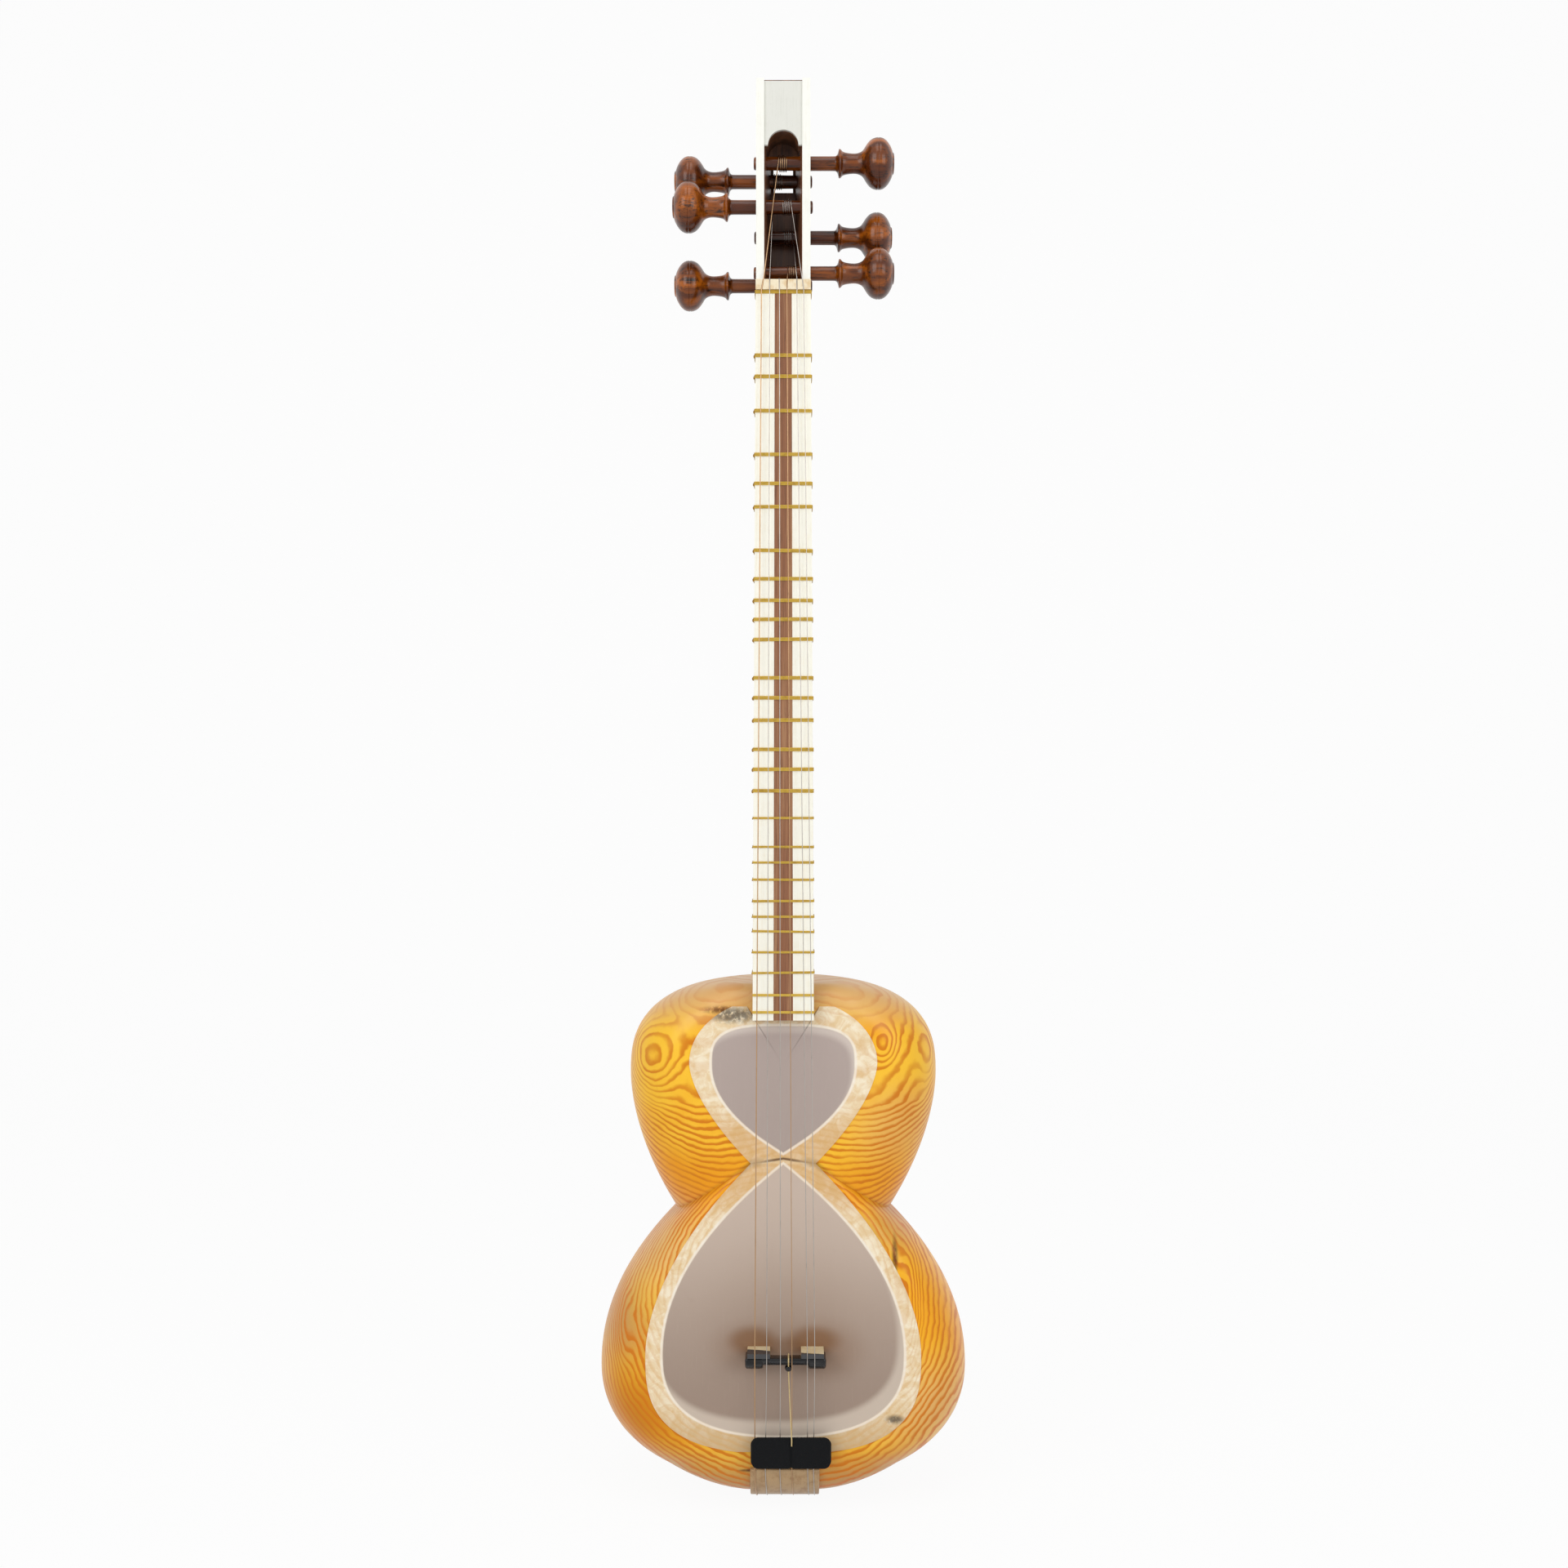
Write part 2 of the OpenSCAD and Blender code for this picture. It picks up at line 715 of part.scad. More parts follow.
// Side view of the horn's feet as points in Y and Z, seated on the skin and falling to the toes
module foot_side() {
    slope = [for (p = foot_line) [bridge_top_y + p[0], horn_z - p[1]]];
    polygon(concat([[skin_top_y, horn_z], [bridge_top_y, horn_z]], slope, [[skin_top_y, toe_z]]));
}

module bar_side() {
    slope = [for (p = bar_line) [bridge_top_y + p[0], horn_z - p[1]]];
    polygon(concat([[bar_low_y, horn_z], [bridge_top_y, horn_z]], slope, [[bar_low_y, horn_z - horn_t]]));
}

// Front view of one horn foot, rounded at the toe
module foot_front() {
    translate([-lobe_w / 2, toe_z + toe_corner])
        square([lobe_w, lobe_reach - toe_corner]);
    translate([-lobe_w / 2 + toe_corner, toe_z])
        square([lobe_w - 2 * toe_corner, lobe_reach]);
    for (x = [-1, 1])
        translate([x * (lobe_w / 2 - toe_corner), toe_z + toe_corner])
            circle(r = toe_corner);
}

module bridge_horn() {
    bar_w = bridge_w - 2 * lobe_w + 2 * past;
    color(horn_colour)
    difference() {
        union() {
            for (m = [-1, 1])
                translate([bridge_x + m * (bridge_w - lobe_w) / 2, 0, 0])
                intersection() {
                    translate([-lobe_w / 2, 0, 0])
                        rotate([90, 0, 90])
                        linear_extrude(lobe_w)
                        foot_side();
                    translate([0, past, 0])
                        rotate([90, 0, 0])
                        linear_extrude(bridge_h + 2 * past)
                        foot_front();
                }
            translate([bridge_x - bar_w / 2, 0, 0])
                rotate([90, 0, 90])
                linear_extrude(bar_w)
                bar_side();
        }
        bridge_grooves();
    }
}

bead_r = 2.4;
bead_bore_r = 0.55;
tie_d = 0.8;
tie_x = 3.4;
tie_lift = tie_d / 2 + 0.1;
bead_at = [tie_x, bar_low_y + 1, horn_z - horn_t - bead_r - 2 * tie_lift - 0.2];

module bridge_bead() {
    color(horn_colour)
    difference() {
        translate(bead_at) sphere(r = bead_r, $fn = 32);
        translate(bead_at - [0, 0, bead_r + past])
            cylinder(r = bead_bore_r, h = 2 * (bead_r + past), $fn = 24);
    }
}

// Round cords as swept tubes

function tangents(p) =
    let(n = len(p))
    [for (i = [0:n - 1])
        i == 0 ? unit(p[1] - p[0])
        : i == n - 1 ? unit(p[i] - p[i - 1])
        : unit(unit(p[i + 1] - p[i]) + unit(p[i] - p[i - 1]))];

// Normals carried along a path without twist
function carried(t) =
    let(start = abs(t[0][0]) > 0.7 ? [0, 1, 0] : [1, 0, 0])
    [for (i = 0, v = unit(start - (start * t[0]) * t[0]);
        i < len(t);
        i = i + 1, v = i < len(t) ? unit(v - (v * t[i]) * t[i]) : v) v];

module tube(path, r, sides) {
    t = tangents(path);
    normals = carried(t);
    n = len(path);
    points = [for (i = [0:n - 1]) for (k = [0:sides - 1])
        let(a = 360 * k / sides)
        path[i] + r * (cos(a) * normals[i] + sin(a) * cross(t[i], normals[i]))];
    walls = [for (i = [0:n - 2]) for (k = [0:sides - 1])
        let(a = i * sides + k, b = i * sides + (k + 1) % sides)
        [[a, a + sides, b], [b, a + sides, b + sides]]];
    ends = [[for (k = [0:sides - 1]) k], [for (k = [sides - 1:-1:0]) (n - 1) * sides + k]];
    polyhedron(points, concat(flatten(walls), ends), convexity = 10);
}

// Hand pad, seated on the strings where they slope down to the tailpiece

tail_lip_angle = 72;
tail_rise = joint_fit;
tail_out = tail_t + tail_rise;
face_centre = [cap_front_y[1], from_end(1, face_start[1])];

// Point of the lower end's profile, in Y and Z, at an angle from the face and a distance out
function tail_point(a, out) =
    [face_centre[0] - (cap_front_y[1] + out) * sin(a), face_centre[1] - (face_start[1] + out) * cos(a)];

lip = tail_point(tail_lip_angle, tail_out + 0.4);
// Height where the strings leave the bridge and slope down
bridge_bend_z = horn_z - horn_t * 0.6;
bridge_rest = [bridge_groove_y - string_d / 2 - contact_gap, bridge_bend_z];
string_slope = (lip[0] - bridge_rest[0]) / (bridge_rest[1] - lip[1]);
string_angle = atan(string_slope);
// Gap between the pad and the lip of the tailpiece
pad_gap = 2.4;
pad_top_z = lip[1] + pad_len + pad_gap;
pad_x = 5;
pad_seat = 0.3;
pad_corner = 5;

function string_y(z) = bridge_rest[0] + string_slope * (bridge_rest[1] - z);

pad_back_y = string_y(pad_top_z) - bass_d / 2 - pad_seat;

module hand_pad() {
    color(horn_colour)
    translate([pad_x, pad_back_y, pad_top_z])
        rotate([string_angle, 0, 0])
        translate([0, 0, -pad_len])
        rotate([90, 0, 0])
        linear_extrude(pad_t)
        union() {
            translate([-pad_w / 2 + pad_corner, 0]) square([pad_w - 2 * pad_corner, pad_len]);
            translate([-pad_w / 2, pad_corner]) square([pad_w, pad_len - 2 * pad_corner]);
            for (x = [-1, 1]) for (z = [pad_corner, pad_len - pad_corner])
                translate([x * (pad_w / 2 - pad_corner), z]) circle(r = pad_corner);
        }
}

// Cord that holds the bridge: round the horn bar, through the bead and over the pad's upper edge
bead_exit = bead_at[2] - bead_r - 0.6;
pad_edge_y = pad_back_y - pad_t * cos(string_angle);
pad_edge_z = pad_top_z - pad_t * sin(string_angle);
pad_lift = tie_lift / cos(string_angle);
tie_end_x = tie_x + 2;
tie_route = [
    [tie_x, bar_low_y + tie_lift, horn_z - horn_t + 1.2],
    [tie_x, bar_low_y + tie_lift, horn_z + tie_lift],
    [tie_x, bridge_top_y - tie_lift, horn_z + tie_lift],
    [tie_x, bridge_top_y - tie_lift, horn_z - bar_line[0][1] - 0.2],
    [tie_x, bridge_top_y + bar_line[1][0] - 0.25, horn_z - horn_t - tie_lift],
    [tie_x, bead_at[1] - 0.6, horn_z - horn_t - tie_lift],
    [tie_x, bead_at[1], horn_z - horn_t - tie_lift - 0.4],
    [tie_x, bead_at[1], bead_exit],
    [tie_end_x, pad_edge_y - tie_lift, pad_edge_z + 0.3],
    [tie_end_x, pad_edge_y - pad_lift + string_slope, pad_edge_z - 1],
    [tie_end_x, pad_edge_y - pad_lift + 4 * string_slope, pad_edge_z - 4]
];

module bridge_tie() {
    color(gut_colour) tube(tie_route, tie_d / 2, 8);
}

// Tailpiece and its pins

tail_x = 1;
tail_back_y = 47;
// Pins that the strings hook to, with their heads
pin_y = 42;
pin_r = 1;
pin_drop = 7;
pin_head_r = 1.6;
pin_head_t = 0.8;

module tailpiece() {
    angles = [for (a = [0:90 / FACE_STATIONS:tail_lip_angle]) a];
    under = [for (a = angles) tail_point(a, tail_rise)];
    over = [for (i = [len(angles) - 1:-1:0]) tail_point(angles[i], tail_out)];
    low = under[0][1];
    color(bone_colour)
    difference() {
        translate([tail_x - tail_w / 2, 0, 0])
            rotate([90, 0, 90])
            linear_extrude(tail_w)
            polygon(concat([[tail_back_y, low - tail_t], [tail_back_y, low]], under, over));
        for (x = string_tail_x)
            translate([x, pin_y, low - tail_t - past])
                cylinder(r = pin_r + joint_fit, h = tail_t + 2 * past, $fn = 24);
    }
}

module tail_pins() {
    low = tail_point(0, tail_rise)[1];
    color(brass_colour)
    for (x = string_tail_x)
        translate([x, pin_y, low - pin_drop]) {
            cylinder(r = pin_r, h = pin_drop, $fn = 24);
            cylinder(r = pin_head_r, h = pin_head_t, $fn = 24);
        }
}

// Strings

// Place where a string from point p touches a circle of radius r at c, all in Y and Z
function touch(p, c, r, way) =
    let(d = c - p, a = atan2(d[1], d[0]), turn = acos(r / norm(d)), b = a + 180 - way * turn)
    [c[0] + r * cos(b), c[1] + r * sin(b)];

function string_r(i) = string_dia[i] / 2;
function winding_r(i) = peg_r + string_r(i) + 0.1;
function nut_y(i) = groove_y - string_r(i) - contact_gap;
function exit_at(i) = [nut_y(i), nut_high_z + exit_past];
function peg_centre(i) = [peg_y[string_peg[i]], peg_z[string_peg[i]]];
function touch_at(i) = touch(exit_at(i), peg_centre(i), winding_r(i), wrap_side[i]);
function touch_point(i) = [winding_x[i], touch_at(i)[0], touch_at(i)[1]];
function exit_point(i) = [string_exit_x[i], exit_at(i)[0], exit_at(i)[1]];
function run_in(i) = unit(touch_point(i) - exit_point(i));

// A string stops short of its winding, where the turning winding passes clear of it
string_stop = 0.3;
turning_gap = 0.15;
function stop_len(i) = sqrt(pow(winding_r(i) + string_dia[i] + turning_gap, 2) - pow(winding_r(i), 2));

// Loop round a pin: angle where it starts, and the step between its points
HOOK_START = 200;
HOOK_STEP = 29;

// Route of a string, from its loop at the tail to its peg
function string_route(i) =
    let(
        r = string_r(i),
        low = tail_point(0, tail_out)[1] - r - contact_gap,
        out = tail_out + r + contact_gap + 0.1,
        x = string_tail_x[i],
        hook = pin_r + r + groove_play,
        sling = [for (a = [HOOK_START:-HOOK_STEP:-90]) [x - hook * sin(a), pin_y + hook * cos(a), low - 0.1]],
        along = [for (a = [0:90 / FACE_STATIONS:tail_lip_angle])
            let(p = tail_point(a, out)) [x + hook * (1 - a / tail_lip_angle), p[0], p[1]]],
        b = string_bridge_x[i],
        y = bridge_groove_y - r - contact_gap
    )
    concat(
        sling,
        [[x + hook, pin_y - 2, low - 0.1]],
        along,
        [[b, y, bridge_bend_z], [b, y, leg_z + 1]],
        [[string_nut_x[i], nut_y(i) - 0.02, nut_low_z - 0.5], exit_point(i)],
        [touch_point(i) - stop_len(i) * run_in(i)]
    );

module string(i) {
    color(i == 0 || i == 3 ? brass_colour : steel_colour)
    tube(string_route(i), string_r(i), 6);
}

// Winding: straight from the end of its string, then its turns on the peg, then straight again

LOOP_RINGS = 24;

function turn_point(i, u) =
    let(
        c = peg_centre(i),
        t = touch_at(i),
        a0 = atan2(t[1] - c[1], t[0] - c[0]),
        a = a0 - wrap_side[i] * 360 * u,
        r = winding_r(i)
    )
    [winding_x[i] + winding_step[i] * winding_pitch * u, c[0] + r * cos(a), c[1] + r * sin(a)];

function turns(i) = [for (k = [0:winding_turns * LOOP_RINGS]) turn_point(i, k / LOOP_RINGS)];

function winding_route(i) =
    let(p = turns(i), n = len(p), d = string_dia[i])
    concat([p[0] - (stop_len(i) - string_stop) * run_in(i)], p, [p[n - 1] + d * unit(p[n - 1] - p[n - 2])]);

// Least gap between points that lie half a turn or more apart along the winding
function own_gap(i) =
    let(p = turns(i), half_turn = LOOP_RINGS / 2)
    min([for (a = [0:len(p) - 1 - half_turn]) for (b = [a + half_turn:len(p) - 1]) norm(p[a] - p[b])])
        - string_dia[i];

module winding(i) {
    color(i == 0 || i == 3 ? brass_colour : steel_colour)
    tube(winding_route(i), string_r(i), 6);
}

echo(least_winding_gap_mm = min([for (i = [0:PEG_COUNT - 1]) own_gap(i)]));

// Pegs

// Places along a peg, from the pegbox's side: shoulder, collar, waist, middle of the head and end
peg_stub = 1.8;
collar_reach = 19;
waist_reach = 28.5;
head_reach = 44.3;
shoulder_x = half_box + collar_reach - 3;
collar_x = half_box + collar_reach;
waist_x = half_box + waist_reach;
head_x = half_box + head_reach;
// Collar: steps up to it, its flat land and the fall behind it, as radius and length
collar_rise = [[0.1, -3], [1.2, -1.2]];
collar_land = 0.8;
collar_fall = [1.6, 2.5];
// Waist: radius, swell and half length, and the flare up to the head
peg_waist_r = 6.4;
waist_swell = 0.9;
waist_half = 4;
flare = [2.1, 5.4];
// Head: half length, power and range of its round, and the button on its end
head_half = 9.6;
head_round = 0.85;
head_angle = 65;
button_r = 7;
button_round = 0.4;
button_t = 0.6;
peg_end_x = head_x + head_half + button_t;

// Outline of a peg's turned end, in radius and distance along the peg
module peg_outline() {
    rise = [for (p = collar_rise) [peg_r + p[0], collar_x + p[1]]];
    collar = [[peg_collar_r, collar_x], [peg_collar_r, collar_x + collar_land],
        [peg_collar_r - collar_fall[0], collar_x + collar_fall[1]]];
    waist = [for (a = [-60:20:60])
        [peg_waist_r + waist_swell * (1 - cos(a)), waist_x + waist_half * sin(a)]];
    head = [for (a = [-head_angle:12:head_angle])
        [peg_head_r * pow(cos(a), head_round), head_x + head_half * sin(a)]];
    button = [[button_r, peg_end_x - button_t - 0.2], [button_r - button_round, peg_end_x], [0, peg_end_x]];
    polygon(concat([[0, shoulder_x]], rise, collar, waist,
        [[peg_waist_r + flare[0], waist_x + flare[1]]], head, button));
}

module peg(i) {
    color(walnut_colour)
    place_peg(i) {
        peg_shaft(0, -half_box - peg_stub, half_box);
        translate([half_box, 0, 0])
            rotate([0, 90, 0])
            cylinder(r = peg_r, h = shoulder_x - half_box);
        rotate([0, 90, 0])
            rotate_extrude()
            peg_outline();
    }
}

bowl_half_left();
bowl_half_right();
small_skin();
large_skin();
neck();
fingerboard_core();
fingerboard_bone_left();
fingerboard_bone_right();
nut();
nut_tie();
pegbox();
pegbox_edge_left();
pegbox_edge_right();
head_panel();
tied_frets();
glued_frets();
bridge_horn();
bridge_bone();
bridge_bead();
bridge_tie();
hand_pad();
tailpiece();
tail_pins();
for (k = [0:MOVABLE_COUNT - 1])
    movable_fret(k);
for (i = [0:PEG_COUNT - 1])
    peg(i);
for (i = [0:PEG_COUNT - 1])
    winding(i);
for (i = [0:PEG_COUNT - 1])
    string(i);
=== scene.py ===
"""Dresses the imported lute: carved bowls, skins, neck, frets, pegs, strings, bridge and fittings."""

import logging
import math
from collections.abc import Sequence
from dataclasses import dataclass
from enum import Enum

import bmesh
import bpy
import numpy as np
from mathutils import Matrix, Vector


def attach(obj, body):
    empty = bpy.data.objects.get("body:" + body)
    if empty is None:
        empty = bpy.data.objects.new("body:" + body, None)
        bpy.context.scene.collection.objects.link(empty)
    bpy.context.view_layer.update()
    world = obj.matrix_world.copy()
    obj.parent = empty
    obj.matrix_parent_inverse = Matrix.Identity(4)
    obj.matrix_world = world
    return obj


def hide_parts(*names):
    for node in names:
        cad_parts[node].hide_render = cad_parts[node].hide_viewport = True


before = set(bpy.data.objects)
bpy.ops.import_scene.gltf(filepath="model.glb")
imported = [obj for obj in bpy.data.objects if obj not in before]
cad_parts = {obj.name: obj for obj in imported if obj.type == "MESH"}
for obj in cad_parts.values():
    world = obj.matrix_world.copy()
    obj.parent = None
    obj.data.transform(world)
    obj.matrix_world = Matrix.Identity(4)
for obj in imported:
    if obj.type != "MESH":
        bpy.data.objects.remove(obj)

log = logging.getLogger("lute")
MM = 0.001
LUTE = "lute"

# Speaking length of the strings, in millimetres, and the share of it that ends at the body's top
SCALE = 684.4
BODY_SHARE = 0.659

# Heights of the body's top and of the bend in the strings behind the bridge, below the nut
TOP = -BODY_SHARE * SCALE
BEND_Z = -691.5

# Middle of the lower end's round profile and its radii in depth and height
END_Y = 30.0
END_Z = TOP - 303
END_R = (30.0, 33.6)

Point = tuple[float, float, float]
Colour = tuple[float, float, float]


class Course(Enum):
    """Metal of a string."""

    STEEL = "steel"
    BRASS = "brass"


class Half(Enum):
    """Side of the middle seam, as the sign of X."""

    LEFT = -1
    RIGHT = 1


def srgb(r: float, g: float, b: float) -> Colour:
    """Linear colour of a screen colour.

    Args:
        r: Red, 0 to 255.
        g: Green, 0 to 255.
        b: Blue, 0 to 255.

    Returns:
        The three linear values, 0 to 1.
    """
    return tuple((c / 255) ** 2.2 for c in (r, g, b))


def lerp(a: float, b: float, s: float) -> float:
    """Value a share s of the way from a to b."""
    return a + (b - a) * s


# Node trees


class Link:
    """One output of a node tree, with arithmetic on values."""

    def __init__(self, bench: "Bench", socket: bpy.types.NodeSocket) -> None:
        """Wraps a socket of a bench's tree."""
        self.bench = bench
        self.socket = socket

    def _math(self, operation: str, *values: "Link | float") -> "Link":
        """Math node of these values."""
        return self.bench.node("ShaderNodeMath", {"operation": operation}, dict(enumerate(values)))

    def __add__(self, other: "Link | float") -> "Link":
        """Sum."""
        return self._math("ADD", self, other)

    __radd__ = __add__

    def __mul__(self, other: "Link | float") -> "Link":
        """Product."""
        return self._math("MULTIPLY", self, other)

    __rmul__ = __mul__

    def __sub__(self, other: "Link | float") -> "Link":
        """Difference."""
        return self._math("SUBTRACT", self, other)

    def __rsub__(self, other: float) -> "Link":
        """Difference from a number."""
        return self._math("SUBTRACT", other, self)

    def __truediv__(self, other: "Link | float") -> "Link":
        """Quotient."""
        return self._math("DIVIDE", self, other)

    def __pow__(self, other: float) -> "Link":
        """Power."""
        return self._math("POWER", self, other)

    def __abs__(self) -> "Link":
        """Size without its sign."""
        return self._math("ABSOLUTE", self)

    def fraction(self) -> "Link":
        """What is left above the whole number."""
        return self._math("FRACT", self)

    def above(self, limit: float) -> "Link":
        """One above the limit and nought below it."""
        return self._math("GREATER_THAN", self, limit)

    def largest(self, other: "Link | float") -> "Link":
        """The larger of two values."""
        return self._math("MAXIMUM", self, other)

    def smallest(self, other: "Link | float") -> "Link":
        """The smaller of two values."""
        return self._math("MINIMUM", self, other)

    def rise(self, low: float, high: float) -> "Link":
        """Smooth step from nought at low to one at high."""
        values = {0: self, 1: low, 2: high, 3: 0.0, 4: 1.0}
        return self.bench.node("ShaderNodeMapRange", {"interpolation_type": "SMOOTHSTEP"}, values)


class Bench:
    """A node tree under construction."""

    def __init__(self, tree: bpy.types.NodeTree) -> None:
        """Starts with an emptied tree."""
        self.tree = tree
        tree.nodes.clear()

    def node(
        self, kind: str, settings: dict | None = None, values: dict | None = None, out: int | str = 0
    ) -> Link:
        """Adds any node.

        Args:
            kind: Type name of the node.
            settings: Attributes set before the inputs.
            values: Number, colour or Link for each input, by name or place.
            out: Name or place of the output that is returned.

        Returns:
            The chosen output.
        """
        made = self.tree.nodes.new(kind)
        for key, value in (settings or {}).items():
            setattr(made, key, value)
        for key, value in (values or {}).items():
            socket = made.inputs[key]
            if isinstance(value, Link):
                self.tree.links.new(value.socket, socket)
            elif socket.type == "RGBA":
                socket.default_value = (*value, 1.0)
            else:
                socket.default_value = value
        return Link(self, made.outputs[out]) if len(made.outputs) else None

    def seen(self) -> Link:
        """Share that is one on rays from the camera, from gloss and through clear parts.

        Returns:
            The share.
        """
        rays = self.node("ShaderNodeLightPath").socket.node.outputs
        camera, glossy, clear = (
            Link(self, rays[f"Is {kind} Ray"]) for kind in ("Camera", "Glossy", "Transmission")
        )
        return camera.largest(glossy).largest(clear)

    def place_mm(self) -> Link:
        """Object coordinates in millimetres."""
        coords = self.node("ShaderNodeTexCoord", out="Object")
        return self.node("ShaderNodeVectorMath", {"operation": "SCALE"}, {0: coords, "Scale": 1000.0})

    def split(self, vector: Link) -> tuple[Link, Link, Link]:
        """The three values of a vector."""
        outs = self.node("ShaderNodeSeparateXYZ", values={0: vector}).socket.node.outputs
        return tuple(Link(self, out) for out in outs)

    def join(self, x: Link | float, y: Link | float, z: Link | float) -> Link:
        """Vector of three values."""
        return self.node("ShaderNodeCombineXYZ", values={0: x, 1: y, 2: z})

    def noise(
        self, vector: Link, scale: float, detail: float = 2.0, rough: float = 0.5, bend: float = 0.0
    ) -> Link:
        """Noise about nought.

        Args:
            vector: Where it is read.
            scale: Features per unit of the vector.
            detail: Number of finer layers.
            rough: Strength of the finer layers.
            bend: Distortion.

        Returns:
            A value of about -0.5 to 0.5.
        """
        values = {"Vector": vector, "Scale": scale, "Detail": detail, "Roughness": rough}
        return self.node("ShaderNodeTexNoise", values={**values, "Distortion": bend}) - 0.5

    def mix(self, a: Link | Colour, b: Link | Colour, share: Link | float) -> Link:
        """Colour between two colours."""
        return self.node("ShaderNodeMix", {"data_type": "RGBA"}, {0: share, 6: a, 7: b}, out=2)

    def blob(self, xyz: Sequence[Link], middle: Point, radii: Point, soft: float = 0.5) -> Link:
        """Mask that is one inside an ellipsoid.

        Args:
            xyz: The three coordinates.
            middle: Its middle.
            radii: Its radii.
            soft: Share of the radius over which it fades.

        Returns:
            The mask.
        """
        return 1 - self.reach(xyz, middle, radii).rise(1 - soft, 1 + soft)

    def reach(self, xyz: Sequence[Link], middle: Point, radii: Point) -> Link:
        """Distance from an ellipsoid's middle, one at its surface."""
        squares = (((v - m) / r) ** 2.0 for v, m, r in zip(xyz, middle, radii))
        return sum(squares, start=0.0) ** 0.5

    def bump(self, height: Link, depth_mm: float, strength: float = 1.0) -> Link:
        """Normal of a height."""
        values = {"Height": height, "Distance": depth_mm * MM, "Strength": strength}
        return self.node("ShaderNodeBump", values=values)


# Finishes


@dataclass(frozen=True)
class Finish:
    """A material of the lute."""

    name: str = "finish"
    roughness: float = 0.4
    metallic: float = 0.0
    coat: float = 0.0
    coat_roughness: float = 0.1
    shine: float = 0.5

    def paint(self, bench: Bench) -> dict[str, Link | Colour | float]:
        """Inputs of the shader that vary over the surface of this finish."""
        return {"Base Color": (0.5, 0.5, 0.5)}

    def material(self) -> bpy.types.Material:
        """Builds the material once and keeps it.

        Returns:
            The material under this finish's name.
        """
        found = bpy.data.materials.get("lute_" + self.name)
        if found:
            return found
        made = bpy.data.materials.new("lute_" + self.name)
        made.use_nodes = True
        bench = Bench(made.node_tree)
        values: dict = {
            "Roughness": self.roughness,
            "Metallic": self.metallic,
            "Coat Weight": self.coat,
            "Coat Roughness": self.coat_roughness,
            "Specular IOR Level": self.shine,
        }
        values.update(self.paint(bench))
        shader = bench.node("ShaderNodeBsdfPrincipled", values=values)
        bench.node("ShaderNodeOutputMaterial", values={"Surface": shader})
        return made


def dark_spot(bench: Bench, xyz: Sequence[Link], middle: Point, radii: Point, ragged: float = 0.5) -> Link:
    """Mask of a ragged dark inclusion in wood.

    Args:
        bench: The tree.
        xyz: The three coordinates in millimetres.
        middle: Its middle.
        radii: Its radii.
        ragged: How far its edge is broken up.

    Returns:
        The mask.
    """
    crumb = bench.noise(bench.join(*xyz), 0.35, 4.0, 0.7)
    return bench.blob(xyz, middle, radii, 0.6) * (1 - (crumb * 2 * ragged + 0.35).rise(0.3, 0.6))


